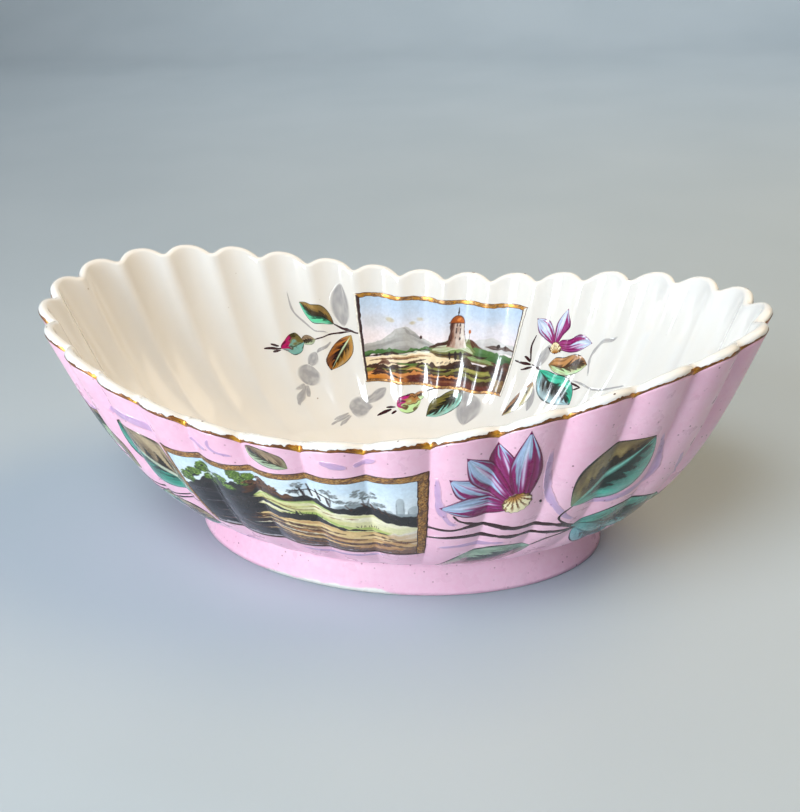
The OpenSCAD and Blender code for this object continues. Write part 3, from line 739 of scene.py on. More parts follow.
def paint_folly(p):
    """A domed tower on a mound by pale sands, with far hills and a rough foreground."""
    p.wash((240, 230, 234), (182, 206, 232), 0.45, 1.0)
    p.mist(0.12, 0.70, 0.28, 0.14, (196, 200, 206), 0.55)
    for s, v in ((0.37, 0.75), (0.20, 0.72), (0.30, 0.70)):
        p.mist(s, v, 0.07, 0.03, (196, 186, 158), 0.8)
    p.mist(0.80, 0.72, 0.30, 0.12, (228, 224, 232), 0.5)

    p.land([(0.0, 0.42), (0.10, 0.45), (0.17, 0.52), (0.235, 0.62), (0.262, 0.665), (0.282, 0.648),
            (0.325, 0.59), (0.38, 0.53), (0.50, 0.47)],
           [(0.0, 0.30), (0.50, 0.38)], (190, 190, 188), (150, 150, 148), 0.006)
    p.stroke([(0.26, 0.65), (0.285, 0.58), (0.33, 0.55), (0.37, 0.51)], 0.035, (140, 140, 140), 0.8)
    p.stroke([(0.235, 0.63), (0.22, 0.55), (0.17, 0.50)], 0.025, (198, 198, 198), 0.8)
    p.land([(0.66, 0.52), (0.74, 0.575), (0.79, 0.63), (0.85, 0.595), (0.92, 0.55), (1.0, 0.555)],
           [(0.66, 0.44), (1.0, 0.44)], (212, 212, 214), (186, 186, 188), 0.006)
    p.dab(0.372, 0.535, 0.019, 0.022, 0.0, (58, 28, 26))

    p.land([(0.0, 0.335), (0.09, 0.35), (0.20, 0.385), (0.30, 0.40), (0.42, 0.425), (0.50, 0.45)],
           [(0.0, 0.27), (0.20, 0.33), (0.50, 0.36)], (80, 120, 66), (44, 72, 42), 0.012)
    p.stroke([(0.0, 0.275), (0.10, 0.29), (0.22, 0.335), (0.36, 0.375), (0.46, 0.40)], 0.035, (46, 30, 26))
    p.land([(0.0, 0.265), (0.12, 0.28), (0.24, 0.33), (0.40, 0.375), (0.60, 0.40), (0.72, 0.42)],
           [(0.0, 0.12), (0.30, 0.18), (0.60, 0.22), (0.72, 0.25)], (246, 226, 192), (232, 216, 180), 0.008)
    p.stroke([(0.25, 0.34), (0.38, 0.365), (0.50, 0.385)], 0.035, (236, 240, 228), 0.9)
    p.stroke([(0.20, 0.285), (0.34, 0.315), (0.46, 0.335)], 0.022, (150, 110, 66), 0.8)
    p.land([(0.44, 0.44), (0.50, 0.50), (0.535, 0.55), (0.56, 0.56), (0.70, 0.56), (0.745, 0.50),
            (0.80, 0.45), (0.90, 0.42)],
           [(0.44, 0.38), (0.60, 0.33), (0.90, 0.30)], (128, 156, 92), (98, 66, 46), 0.008)
    p.stroke([(0.44, 0.435), (0.50, 0.475), (0.535, 0.55)], 0.045, (62, 34, 28))
    p.stroke([(0.70, 0.56), (0.735, 0.51), (0.78, 0.45)], 0.06, (84, 46, 36))
    p.stroke([(0.47, 0.415), (0.56, 0.47), (0.66, 0.46), (0.73, 0.42)], 0.07, (214, 222, 196), 0.9)
    p.land([(0.72, 0.52), (0.80, 0.475), (0.88, 0.44), (1.0, 0.415)],
           [(0.72, 0.40), (0.85, 0.34), (1.0, 0.28)], (84, 124, 70), (46, 80, 44), 0.01)
    p.stroke([(0.78, 0.525), (0.86, 0.50), (0.93, 0.50), (1.0, 0.49)], 0.045, (62, 40, 34))
    p.dab(0.865, 0.52, 0.03, 0.025, 0.0, (50, 34, 30))
    p.dab(0.92, 0.515, 0.022, 0.02, 0.0, (60, 40, 36))

    tower = [(0.525, 0.475), (0.535, 0.56), (0.543, 0.66), (0.541, 0.755), (0.633, 0.745), (0.640, 0.66),
             (0.655, 0.56), (0.675, 0.465), (0.60, 0.445)]
    p.shape(tower, (150, 110, 92), (240, 238, 232))
    p.stroke([(0.538, 0.50), (0.547, 0.60), (0.548, 0.74)], 0.045, (66, 34, 28), 0.95, taper=0.2)
    p.stroke([(0.556, 0.50), (0.562, 0.60), (0.562, 0.735)], 0.022, (122, 78, 60), 0.7, taper=0.2)
    p.stroke([(0.636, 0.745), (0.642, 0.66), (0.66, 0.55)], 0.010, (74, 56, 54), 0.9, taper=0.2)
    for s, v, high in ((0.583, 0.655, 0.05), (0.612, 0.65, 0.055), (0.585, 0.72, 0.018),
                       (0.607, 0.718, 0.018), (0.58, 0.57, 0.02), (0.615, 0.565, 0.018)):
        p.stroke([(s, v - high / 2), (s, v + high / 2)], 0.020, (52, 38, 40), 0.95, taper=0.2)
    dome = [(0.587 + 0.050 * math.cos(a), 0.745 + 0.085 * math.sin(a)) for a in np.linspace(0, math.pi, 17)]
    p.shape(dome, (142, 66, 22), (196, 104, 36))
    p.dab(0.595, 0.785, 0.032, 0.018, 0.4, (232, 142, 62), 0.8)
    p.stroke([*dome, dome[0]], 0.010, (58, 28, 22), 0.9, taper=0.0)
    p.stroke([(0.587, 0.825), (0.588, 0.93)], 0.012, INK)
    p.dab(0.5875, 0.865, 0.013, 0.016, 0.0, INK)
    p.stroke([(0.668, 0.53), (0.680, 0.63)], 0.022, (236, 232, 228), 0.9, taper=0.3)
    p.stroke([(0.690, 0.53), (0.686, 0.64)], 0.008, (74, 52, 50), 0.9)
    p.dab(0.686, 0.655, 0.020, 0.024, 0.0, (176, 90, 34))
    p.stroke([(0.49, 0.385), (0.55, 0.375), (0.62, 0.385), (0.68, 0.385)], 0.022, INK)
    for s in (0.55, 0.595, 0.635):
        p.stroke([(s, 0.40), (s + 0.008, 0.33)], 0.035, (38, 28, 30), 1.0, taper=0.3)
    p.stroke([(0.02, 0.225), (0.14, 0.25), (0.26, 0.285), (0.36, 0.30)], 0.020, (92, 56, 36), 0.9)
    p.stroke([(0.16, 0.215), (0.28, 0.235), (0.42, 0.285)], 0.026, (58, 38, 30), 0.9)
    p.stroke([(0.66, 0.40), (0.74, 0.385), (0.80, 0.40)], 0.03, (52, 30, 28), 0.9)

    p.land([(0.0, 0.165), (0.10, 0.18), (0.22, 0.20), (0.34, 0.245), (0.46, 0.255), (0.60, 0.29),
            (0.70, 0.335), (0.80, 0.30), (0.90, 0.33), (1.0, 0.36)],
           [(0.0, -0.1), (1.0, -0.1)], (74, 50, 36), (44, 32, 30), 0.02, grain=18, slope=0.3)
    p.land([(0.0, 0.15), (0.10, 0.14), (0.22, 0.16), (0.34, 0.205), (0.50, 0.215), (0.66, 0.215),
            (0.80, 0.235), (0.92, 0.17)],
           [(0.0, 0.09), (0.30, 0.13), (0.55, 0.145), (0.80, 0.13), (0.92, 0.12)], (144, 146, 74),
           (98, 92, 44), 0.014)
    p.stroke([(0.70, 0.36), (0.78, 0.36), (0.86, 0.31)], 0.045, (146, 182, 120), 0.9)
    p.stroke([(0.24, 0.235), (0.30, 0.215), (0.36, 0.225)], 0.03, (90, 130, 60), 0.9)
    p.land([(0.0, 0.115), (0.08, 0.13), (0.20, 0.115), (0.34, 0.145), (0.46, 0.12), (0.60, 0.135),
            (0.70, 0.10)],
           [(0.0, -0.1), (0.30, 0.02), (0.50, 0.05), (0.70, 0.08)], (226, 158, 96), (160, 96, 44), 0.014)
    p.stroke([(0.08, 0.185), (0.13, 0.215), (0.18, 0.205)], 0.05, (96, 56, 40), 0.9)
    p.stroke([(0.03, 0.10), (0.09, 0.115), (0.15, 0.085)], 0.05, (48, 26, 26))
    p.land([(0.26, 0.08), (0.36, 0.115), (0.46, 0.10), (0.56, 0.115), (0.68, 0.10), (0.80, 0.075),
            (0.96, 0.09)],
           [(0.26, 0.03), (0.46, 0.0), (0.75, -0.02), (0.96, 0.0)], (104, 54, 42), (56, 26, 28), 0.014,
           slope=0.3)
    p.stroke([(0.27, 0.155), (0.33, 0.175), (0.40, 0.155)], 0.035, (246, 178, 112), 0.9)
    p.stroke([(0.0, 0.04), (0.12, 0.045), (0.24, 0.03)], 0.06, (202, 130, 44), 0.95, taper=0.3)
    p.land([(0.84, 0.32), (0.90, 0.335), (1.0, 0.33)], [(0.84, 0.20), (0.92, 0.12), (1.0, 0.14)],
           (96, 60, 46), (44, 28, 28), 0.02)
    p.land([(0.90, 0.13), (1.0, 0.16)], [(0.90, 0.03), (1.0, 0.01)], (150, 132, 76), (104, 66, 40), 0.014)
    darks = (([(0.02, 0.075), (0.14, 0.085), (0.26, 0.06)], 0.035),
             ([(0.34, 0.19), (0.46, 0.175), (0.58, 0.195)], 0.04),
             ([(0.60, 0.255), (0.72, 0.25), (0.84, 0.27), (0.96, 0.24)], 0.045),
             ([(0.58, 0.165), (0.70, 0.185), (0.82, 0.165), (0.94, 0.20)], 0.035),
             ([(0.10, 0.145), (0.22, 0.155), (0.30, 0.145)], 0.025))
    for points, width in darks:
        p.stroke(points, width, (46, 28, 26), 0.95, ragged=0.5)
    p.stroke([(0.62, 0.215), (0.72, 0.225), (0.84, 0.205)], 0.028, (168, 162, 90), 0.9)
    p.stroke([(0.40, 0.065), (0.54, 0.07), (0.66, 0.055)], 0.022, (150, 96, 60), 0.9)
    p.tufts(0.04, 0.16, 0.14, 0.19, 6, 0.04, INK)
    p.tufts(0.50, 0.27, 0.60, 0.28, 8, 0.03, (40, 30, 26))


# ---------------------------------------------------------------- sheets of enamel on the wall

OUTER, INNER = 1, -1
SUNK = -0.03 * MM


def on_wall(turn, level, height, side):
    """Points at a height over the pink ground outside, or over the white glaze inside."""
    base = GROUND if side == OUTER else -WALL
    level = np.clip(level * scallop(turn), 0, 1)
    return skin(turn, level, base + side * np.asarray(height, float) * np.ones_like(turn))


def evened(place):
    """A place with its level evened, as the decoration is laid out."""
    turn, level = place
    return np.array([turn, level / scallop(turn)])


def sheet(places, height, side, paint, wrap=False):
    """A thin layer of colour on a grid of places. Its borders drop into the ground all round."""
    turn, level = places
    rows, columns = turn.shape
    points = on_wall(turn, level, height, side).reshape(-1, 3)
    sunk = on_wall(turn, level, SUNK, side).reshape(-1, 3)
    faces = grid_faces(rows, columns, wrap_columns=wrap)
    # Which way the grid's middle faces
    r, c = rows // 2, columns // 2
    here = r * columns + c
    normal = np.cross(points[here + 1] - points[here], points[here + columns] - points[here])
    facing = normal @ outward(turn[r, c], np.clip(level[r, c], 0.01, 0.99)) * side > 0
    return skirted(points, sunk, faces, grid_borders(rows, columns, wrap), paint, facing)


def skirted(points, sunk, faces, borders, paint, facing):
    """The layer's points, faces and colours, with a skirt down to the sunk points at each border."""
    tint = np.zeros((len(points), 4))
    tint[:, :paint.shape[-1]] = paint.reshape(len(points), -1)
    tint[:, :3] = linear(tint[:, :3])
    all_points, all_faces, all_tints, count = [points], [faces], [tint], len(points)
    for border in borders:
        below = count + np.arange(len(border))
        all_points.append(sunk[border])
        all_tints.append(tint[border])
        all_faces.append(np.stack([np.roll(border, -1), border, below, np.roll(below, -1)], -1))
        count += len(border)
    faces = np.concatenate(all_faces)
    return np.concatenate(all_points), faces if facing else faces[:, ::-1], np.concatenate(all_tints)


def make_piece(name, sheets, material, node, turned=False):
    """One piece from several sheets; turned moves it to the same place on the opposite side."""
    points, faces, paint, count = [], [], [], 0
    for sheet_points, sheet_faces, sheet_paint in sheets:
        points.append(sheet_points)
        faces.append(sheet_faces + count)
        paint.append(sheet_paint)
        count += len(sheet_points)
    points = np.concatenate(points) * ((-1, -1, 1) if turned else (1, 1, 1))
    piece = new_object(name, points, np.concatenate(faces), material, np.concatenate(paint))
    finish_piece(piece, node)


def wall_scale(turn, level):
    """Metres along the wall for one degree of turn, and for one whole level."""
    flute = 360 / FLUTES
    across = outside(turn + flute, level) - outside(turn - flute, level)
    low, high = max(level - 0.05, 0.0), min(level + 0.05, 1.0)
    rise = outside(turn, high) - outside(turn, low)
    return np.linalg.norm(across) / (2 * flute), np.linalg.norm(rise) / (high - low)


# ---------------------------------------------------------------- leaves, petals and buds

def outline(along, widest, style):
    """Half width of a petal, leaf or bud along its length, as a share of the widest."""
    base, base_power, tip_power, sharpness = style
    below = np.clip(along / widest, 0, 1)
    above = np.clip((along - widest) / (1 - widest), 0, 1)
    return (base + (1 - base) * (1 - (1 - below) ** base_power)) * (1 - above ** tip_power) ** sharpness


# Width at the base, fullness towards the base, fullness towards the tip, and how drawn out the tip is
LEAF_OUTLINE = (0.02, 2.0, 2.3, 1.05)
PETAL_OUTLINE = (0.24, 1.8, 1.7, 1.2)
ROUND_OUTLINE = (0.02, 2.6, 2.6, 0.7)


def two_sided(base, tip, sides, rows, columns, style):
    """Places of a leaf from its base and tip and the widest place on either side.

    Gives the turns and levels, how far along each point is, and how far across from -1 to 1;
    across is positive on the side of the first widest place.
    """
    base, tip = evened(base), evened(tip)
    scale = np.array(wall_scale(*((base + tip) / 2)))
    axis = (tip - base) * scale
    length = np.linalg.norm(axis)
    axis = axis / length
    square = np.array([-axis[1], axis[0]])
    along = np.linspace(0, 1, rows)[:, None]
    across = np.linspace(-1, 1, columns)[None, :]
    spread = 0.0
    for place, half in zip(sides, (across > 0, across <= 0)):
        reach = (evened(place) - base) * scale
        widest = np.clip(reach @ axis / length, 0.2, 0.8)
        profile = outline(along, widest, style)
        spread = spread + (reach @ square) * (profile + 0.004) * np.abs(across) * half
    offset = spread[..., None] * square + (along * length)[..., None] * axis
    places = base + offset / scale
    return places[..., 0], places[..., 1], along + 0 * across, across + 0 * along


def leaf_paint(a, b, style, seed):
    """Two-tone leaf: each half is light at the edge and dark in patches along the midrib."""
    upper_light, upper_dark, lower_light, lower_dark, rib, start = (np.asarray(c, float) for c in style)
    half = step_up(b, -0.05, 0.05)
    light, dark = blend(lower_light, upper_light, half), blend(lower_dark, upper_dark, half)
    t = np.abs(b)
    slant = a - 0.42 * t
    brush = cloud(slant * 8, b * 2.4, seed) + 0.5 * cloud(slant * 26, b * 3, seed + 1)
    colour = blend(light, dark, 0.30 + 0.45 * brush + 0.35 * half * (a - 0.35))
    pale = step_up(t + 0.22 * brush, 0.55, 0.95) * (1 - 0.75 * half)
    colour = blend(colour, light * 0.55 + np.array([105.0, 112.0, 115.0]), pale * 0.6)
    teeth = np.abs(np.mod(slant * 6.5 + 0.2 * cloud(a * 4, b * 3, seed + 3), 1) - 0.5) * 2
    patch = 0.18 + 0.34 * teeth + 0.18 * cloud(a * 3.2, b * 1.4, seed + 2)
    patch = step_up(patch - t, -0.03, 0.05) * step_up(a, 0.12, 0.34) * step_up(a, 0.99, 0.86)
    colour = blend(colour, dark * 0.42, patch * 0.88)
    near_rib = step_up(np.abs(b), 0.10 * (1.2 - a) + 0.03, 0.04 * (1.2 - a))
    colour = blend(colour, rib, near_rib * 0.95)
    colour = blend(colour, start, step_up(a, 0.22, 0.03) * 0.6)
    edge = step_up(t, 0.88, 0.945) * (0.75 + 0.6 * cloud(a * 5, b * 0.7, seed + 4))
    edge = np.maximum(edge, step_up(a, 0.965, 0.985))
    return blend(colour, (30, 30, 30), edge * 0.9)


def petal_paint(a, b, style, seed):
    """A pale petal with a deep flame from its base, a pale streak and a dark line round it."""
    pale, deep, line, lean, reach = style
    pale, deep = np.asarray(pale, float), np.asarray(deep, float)
    tongues = 0.20 * np.cos(b * 10 + 2 * lean) + 0.16 * cloud(b * 4, a * 0, seed)
    flame = reach + tongues + lean * b * 0.60 - 0.25 * step_up(np.abs(b), 0.55, 1.0) * (1 - np.abs(lean))
    cover = step_up(flame - a, -0.06, 0.05)
    brush = cloud(a * 2.2, b * 9, seed + 1)
    colour = blend(pale, pale * 0.80, 0.35 + 0.8 * brush)
    colour = blend(colour, deep, cover * (0.95 + 0.2 * brush))
    rays = step_up(np.cos(b * 15 + 2 * cloud(a * 3, b * 2, seed + 2)), 0.5, 0.95) * step_up(a, 0.8, 0.2)
    colour = blend(colour, deep * 0.5, rays * 0.65)
    streak = np.exp(-((b + 0.25 * lean) / (0.08 + 0.08 * a)) ** 2) * step_up(a, 0.12, 0.3)
    colour = blend(colour, (226, 232, 250), streak * step_up(a, 0.98, 0.7) * 0.85)
    edge = np.maximum(step_up(np.abs(b), 0.81, 0.88), step_up(a, 0.945, 0.965))
    return blend(colour, line, edge * 0.95)


def bud_paint(a, b, style, seed):
    """A round bud: calyx colours with a bright tip showing on one side."""
    light, dark, tip = style
    brush = cloud(a * 4, b * 3, seed)
    colour = blend(light, dark, step_up(b + 0.5 * brush, -0.35, 0.55))
    folds = step_up(np.cos((b + 0.3 * a) * 7 + 2 * brush), 0.7, 0.97)
    colour = blend(colour, np.asarray(dark) * 0.45, folds * 0.8)
    showing = step_up(a + 0.30 * b + 0.15 * brush, 0.74, 0.82)
    colour = blend(colour, tip, showing)
    colour = blend(colour, np.asarray(tip) * 0.5, showing * step_up(cloud(a * 9, b * 7, seed + 1), 0.1, 0.6))
    edge = step_up(np.abs(b), 0.9, 0.96) * (0.5 + 0.6 * cloud(a * 4, b, seed + 2))
    return blend(colour, (34, 40, 34), edge)


def shade_paint(a, b, style, seed):
    """A wash of shadow: white is no shadow, and it fades out at the edges."""
    brush = cloud(a * 5, b * 3, seed)
    cover = step_up(1 - np.abs(b), 0.0, 0.32) * step_up(a, 0.0, 0.08) * step_up(a, 1.0, 0.93)
    return blend((255, 255, 255), style, cover * (0.85 + 0.22 * brush))


def centre_paint(a, b, seed):
    """A flower's middle: pale ribs that fan out, dark between."""
    turn_round = math.pi * b
    x, y = a * np.cos(turn_round), a * np.sin(turn_round) - 1.05
    fan = np.arctan2(x, -y)
    reach = np.hypot(x, y)
    colour = blend((190, 128, 48), (252, 240, 196), step_up(reach, 0.35, 1.1))
    ribs = step_up(np.cos(fan * 22 + cloud(a * 3, b * 3, seed)), 0.05, 0.7)
    colour = blend(colour, (104, 60, 22), ribs * step_up(reach, 2.0, 1.2) * 0.9)
    rim = step_up(a + 0.06 * cloud(b * 9, a * 0, seed + 1), 0.88, 0.96)
    return blend(colour, (84, 46, 24), np.maximum(rim * 0.9, step_up(reach, 0.34, 0.2) * 0.8))


LEAF_ROWS, LEAF_COLUMNS = 76, 37
RIBBON_STEP, RIBBON_COLUMNS = 0.5 * MM, 9
FAN_ROWS, FAN_COLUMNS, FAN_RIBS = 22, 96, 14


def leaf_sheet(base, tip, sides, paint, style, seed, side=OUTER, height=0.12, shape=LEAF_OUTLINE):
    """A painted leaf, petal or bud; height in millimetres."""
    turn, level, a, b = two_sided(base, tip, sides, LEAF_ROWS, LEAF_COLUMNS, shape)
    crown = height * MM * (0.55 + 0.45 * np.sqrt(np.clip(1 - b ** 2, 0, 1)))
    return sheet((turn, level), crown, side, paint(a, b, style, seed))


def ribbon_sheet(points, width, colour, seed, side=OUTER, height=0.10, taper=0.6, paint=None):
    """A brush line along places on the wall; width in millimetres."""
    places = np.array([evened(place) for place in points])
    scale = np.array(wall_scale(*places.mean(0)))
    line = smooth_line(places * scale, 12)
    run = np.concatenate([[0], np.cumsum(np.hypot(*np.diff(line, axis=0).T))])
    steps = max(int(run[-1] / RIBBON_STEP), 8)
    along = np.linspace(0, 1, steps)[:, None]
    middle = np.stack([np.interp(along[:, 0] * run[-1], run, line[:, i]) for i in (0, 1)], -1)
    ahead = unit(np.gradient(middle, axis=0))
    square = np.stack([-ahead[:, 1], ahead[:, 0]], -1)
    across = np.linspace(-1, 1, RIBBON_COLUMNS)[None, :]
    half = width / 2 * MM * (1 - taper * np.abs(2 * along - 1) ** 2.2) + 0.03 * MM
    half = half * (1 + 0.22 * cloud(along * run[-1] / (3 * MM), along * 0, seed))
    places = (middle[:, None] + square[:, None] * (half * across)[..., None]) / scale
    a, b = along + 0 * across, across + 0 * along
    if paint is None:
        brush = cloud(a * run[-1] / (2 * MM), b * 2, seed + 1)
        tint = blend(colour, np.asarray(colour) * 0.7 + 12, 0.3 + 0.6 * brush)
    else:
        tint = paint(a, b, colour, seed)
    crown = height * MM * (0.5 + 0.5 * np.sqrt(np.clip(1 - b ** 2, 0, 1)))
    return sheet((places[..., 0], places[..., 1]), crown, side, tint)


def fan_sheet(centre, radius, tilt, seed, side, height=0.42):
    """A domed disc with ribs, lying on the wall; radius in millimetres."""
    centre = evened(centre)
    scale = np.array(wall_scale(*centre))
    a = np.linspace(0.02, 1, FAN_ROWS)[:, None]
    b = np.linspace(-1, 1, FAN_COLUMNS + 1)[None, :-1]
    angle = math.radians(tilt) + math.pi * b
    reach = a * (1 + 0.04 * np.cos(angle * FAN_RIBS)) * radius * MM
    places = np.stack([reach * np.cos(angle), reach * np.sin(angle)], -1) / scale
    turn, level = centre[0] + places[..., 0], centre[1] + places[..., 1]
    ribs = 0.92 + 0.08 * np.cos(b * math.pi * FAN_RIBS)
    crown = height * MM * (0.62 + 0.38 * np.sqrt(1.02 - a ** 2)) * ribs
    paint = centre_paint(a + 0 * b, b + 0 * a, seed)
    return sheet((turn, level), crown, side, paint, wrap=True)


def petal_sheets(rows, colours, seed, side=OUTER):
    """Petals, from rows of base, tip, widest places, side and reach of the deep colour, and height."""
    return [leaf_sheet(base, tip, sides, petal_paint, (*colours, lean, reach), seed + i, side, height,
                       PETAL_OUTLINE)
            for i, (base, tip, sides, lean, reach, height) in enumerate(rows)]


def leaf_sheets(rows, seed, side=OUTER):
    """Leaves by name, from rows of name, base, tip, widest places, colours and height."""
    return {name: [leaf_sheet(base, tip, sides, leaf_paint, style, seed + 10 * i, side, height)]
            for i, (name, base, tip, sides, style, height) in enumerate(rows)}


def ribbon_sheets(rows, colour, seed, **look):
    """Brush lines, from rows of places and width."""
    return [ribbon_sheet(places, width, colour, seed + i, **look) for i, (places, width) in enumerate(rows)]


# Leaf colours: light and dark of the upper half, light and dark of the lower half, rib, stalk end
OLIVE_TEAL = ((146, 128, 80), (64, 46, 32), (86, 178, 160), (34, 62, 56), (128, 200, 184), (120, 158, 132))
TEAL = ((86, 162, 144), (44, 84, 80), (112, 168, 166), (48, 92, 92), (36, 60, 56), (98, 160, 156))
PALE_TEAL = ((120, 172, 180), (74, 130, 138), (134, 178, 188), (84, 140, 150), (56, 96, 104), (110, 170, 176))
GREY_GREEN = ((158, 180, 156), (100, 124, 104), (176, 134, 136), (120, 84, 84), (84, 96, 84), (150, 178, 166))
BROWN_TEAL = ((178, 158, 126), (78, 58, 42), (60, 158, 136), (40, 66, 58), (206, 214, 190), (110, 190, 170))
OLIVE = ((164, 140, 110), (92, 70, 52), (186, 204, 168), (110, 116, 86), (60, 50, 40), (150, 160, 120))
BRIGHT = ((160, 128, 64), (92, 72, 34), (96, 214, 164), (60, 150, 120), (38, 26, 22), (46, 26, 22))
AMBER = ((176, 108, 38), (56, 24, 18), (190, 134, 56), (104, 76, 26), (206, 232, 190), (168, 150, 72))
DARK_OLIVE = ((120, 112, 48), (60, 54, 22), (146, 226, 212), (70, 60, 40), (44, 40, 20), (64, 30, 26))
TAN = ((196, 142, 88), (96, 62, 36), (196, 232, 180), (140, 110, 60), (74, 44, 26), (120, 90, 50))
SEA = ((70, 200, 168), (34, 120, 100), (176, 222, 236), (58, 46, 40), (40, 50, 46), (40, 180, 140))
SPRING = ((150, 104, 62), (78, 48, 28), (196, 186, 132), (112, 84, 44), (44, 26, 18), (150, 112, 66))

# Petal colours: pale, deep and line outside, then inside
LILAC, WINE, PLUM = (176, 200, 232), (130, 0, 82), (100, 0, 60)
PALE_LILAC, MAGENTA, DEEP_PLUM = (202, 218, 248), (142, 8, 96), (104, 14, 84)
# Bud colours: calyx light and dark, and the tip
TEAL_BUD = ((96, 160, 150), (60, 86, 80), WINE)
ROSE_BUD = ((120, 176, 170), (112, 100, 52), (176, 20, 96))
SPRING_BUD = ((190, 224, 160), (168, 116, 60), (184, 30, 120))
STEM = (54, 20, 26)
OUTER_SHADE, INNER_SHADE = (200, 208, 234), (180, 180, 185)


# Each spray is its flower, its stems, its washes of shadow, and its leaves and buds by name


def front_right_spray():
    """The flower, leaves and crossing stems right of the panel."""
    petals = [((303.8, 0.565), (292.1, 0.78), ((298.4, 0.745), (294.2, 0.65)), -0.3, 0.55, 0.14),
              ((305.0, 0.585), (299.8, 0.965), ((303.4, 0.82), (298.7, 0.86)), -0.5, 0.95, 0.14),
              ((304.2, 0.550), (290.6, 0.60), ((296.6, 0.655), (297.1, 0.515)), -0.5, 0.52, 0.22),
              ((304.6, 0.575), (294.8, 0.895), ((299.6, 0.85), (296.2, 0.73)), 0.3, 0.58, 0.22),
              ((306.0, 0.575), (304.9, 0.975), ((302.4, 0.77), (308.4, 0.75)), -0.6, 0.60, 0.22)]
    flower = petal_sheets(petals, (LILAC, WINE, PLUM), 200)
    flower.append(fan_sheet((305.2, 0.570), 5.3, 20, 210, OUTER))
    leaves = leaf_sheets([
        ("big_leaf", (316.9, 0.469), (329.3, 0.742), ((317.3, 0.70), (329.9, 0.51)), OLIVE_TEAL, 0.14),
        ("teal_leaf", (320.4, 0.315), (348.4, 0.25), ((331.5, 0.385), (335.0, 0.18)), TEAL, 0.16),
        ("small_leaf", (322.0, 0.285), (337.0, 0.12), ((331.5, 0.24), (326.5, 0.15)), PALE_TEAL, 0.11),
        ("low_leaf", (313.2, 0.22), (293.0, 0.055), ((302.0, 0.265), (306.0, 0.035)), GREY_GREEN, 0.12)], 220)
    lines = [([(288.4, 0.472), (293.4, 0.435), (297.5, 0.452), (301.6, 0.438), (306.5, 0.392),
               (311.9, 0.388), (316.9, 0.35), (322.2, 0.295)], 2.0),
             ([(288.4, 0.392), (294.8, 0.378), (301.1, 0.368), (306.5, 0.332), (310.6, 0.338),
               (317.3, 0.302), (322.7, 0.282)], 2.0),
             ([(313.2, 0.222), (315.9, 0.262), (320.0, 0.278), (322.7, 0.282)], 1.1),
             ([(293.4, 0.54), (295.2, 0.492), (300.6, 0.44)], 1.1),
             ([(317.3, 0.465), (315.7, 0.425), (315.9, 0.39), (318.6, 0.342), (322.2, 0.305)], 1.0),
             ([(347.5, 0.255), (351.0, 0.285), (354.0, 0.33)], 0.8),
             ([(309.9, 0.552), (310.4, 0.538)], 1.1)]
    stems = ribbon_sheets(lines, STEM, 260, taper=0.45)
    washes = [([(309.4, 0.84), (310.0, 0.70), (311.6, 0.57), (315.8, 0.43), (319.6, 0.365)], 3.6),
              ([(331.2, 0.74), (333.4, 0.63), (333.6, 0.50), (327.6, 0.445), (319.5, 0.455)], 4.4),
              ([(339.4, 0.57), (341.5, 0.49), (345.5, 0.40)], 3.8),
              ([(289.9, 0.80), (290.6, 0.62), (292.6, 0.50), (294.6, 0.47)], 3.2),
              ([(291.0, 0.30), (298.0, 0.305), (306.0, 0.29)], 3.0),
              ([(296.0, 0.025), (306.0, 0.012), (316.0, 0.05)], 2.4)]
    shades = ribbon_sheets(washes, OUTER_SHADE, 280, height=0.04, taper=0.7, paint=shade_paint)
    return flower, stems, shades, leaves


def front_left_spray():
    """The leaves and bud left of the panel."""
    leaves = leaf_sheets([
        ("long_leaf", (235.9, 0.46), (220.1, 0.75), ((231.6, 0.76), (221.8, 0.50)), BROWN_TEAL, 0.12),
        ("olive_leaf", (217.0, 0.42), (206.0, 0.65), ((216.4, 0.60), (206.8, 0.46)), OLIVE, 0.12),
        ("low_leaf", (216.5, 0.27), (232.8, 0.185), ((228.5, 0.33), (221.5, 0.16)), BROWN_TEAL, 0.12)], 300)
    leaves["cut_leaf"] = [leaf_sheet((263.3, 0.862), (255.8, 0.975), ((261.9, 0.945), (256.8, 0.888)),
                                     leaf_paint, OLIVE, 330, shape=ROUND_OUTLINE)]
    flower = [leaf_sheet((204.5, 0.47), (200.6, 0.73), ((206.5, 0.62), (199.0, 0.60)), bud_paint, TEAL_BUD,
                         340, height=0.18, shape=ROUND_OUTLINE)]
    lines = [([(205.0, 0.40), (212.0, 0.37), (218.0, 0.33), (224.0, 0.35), (230.0, 0.39), (234.4, 0.42)],
              0.9),
             ([(217.0, 0.29), (223.0, 0.32), (229.6, 0.365), (235.6, 0.40)], 0.9),
             ([(210.0, 0.30), (215.0, 0.295), (219.0, 0.305)], 0.9),
             ([(204.6, 0.48), (205.4, 0.44), (205.0, 0.40)], 0.9)]
    stems = ribbon_sheets(lines, STEM, 350, taper=0.5)
    washes = [([(219.6, 0.79), (224.5, 0.85), (230.4, 0.85), (234.6, 0.79)], 5.0),
              ([(243.0, 0.91), (247.0, 0.865)], 3.0),
              ([(248.9, 0.95), (248.2, 0.905), (249.2, 0.875), (252.4, 0.872)], 1.8),
              ([(269.6, 0.925), (274.4, 0.893)], 3.2), ([(279.5, 0.94), (275.4, 0.905)], 2.8),
              ([(204.0, 0.70), (207.4, 0.67), (209.6, 0.62)], 3.0),
              ([(258.0, 0.222), (268.0, 0.205), (280.0, 0.22)], 2.4),
              ([(233.5, 0.24), (235.4, 0.18), (243.0, 0.13)], 2.6)]
    shades = ribbon_sheets(washes, OUTER_SHADE, 360, height=0.04, taper=0.7, paint=shade_paint)
    return flower, stems, shades, leaves


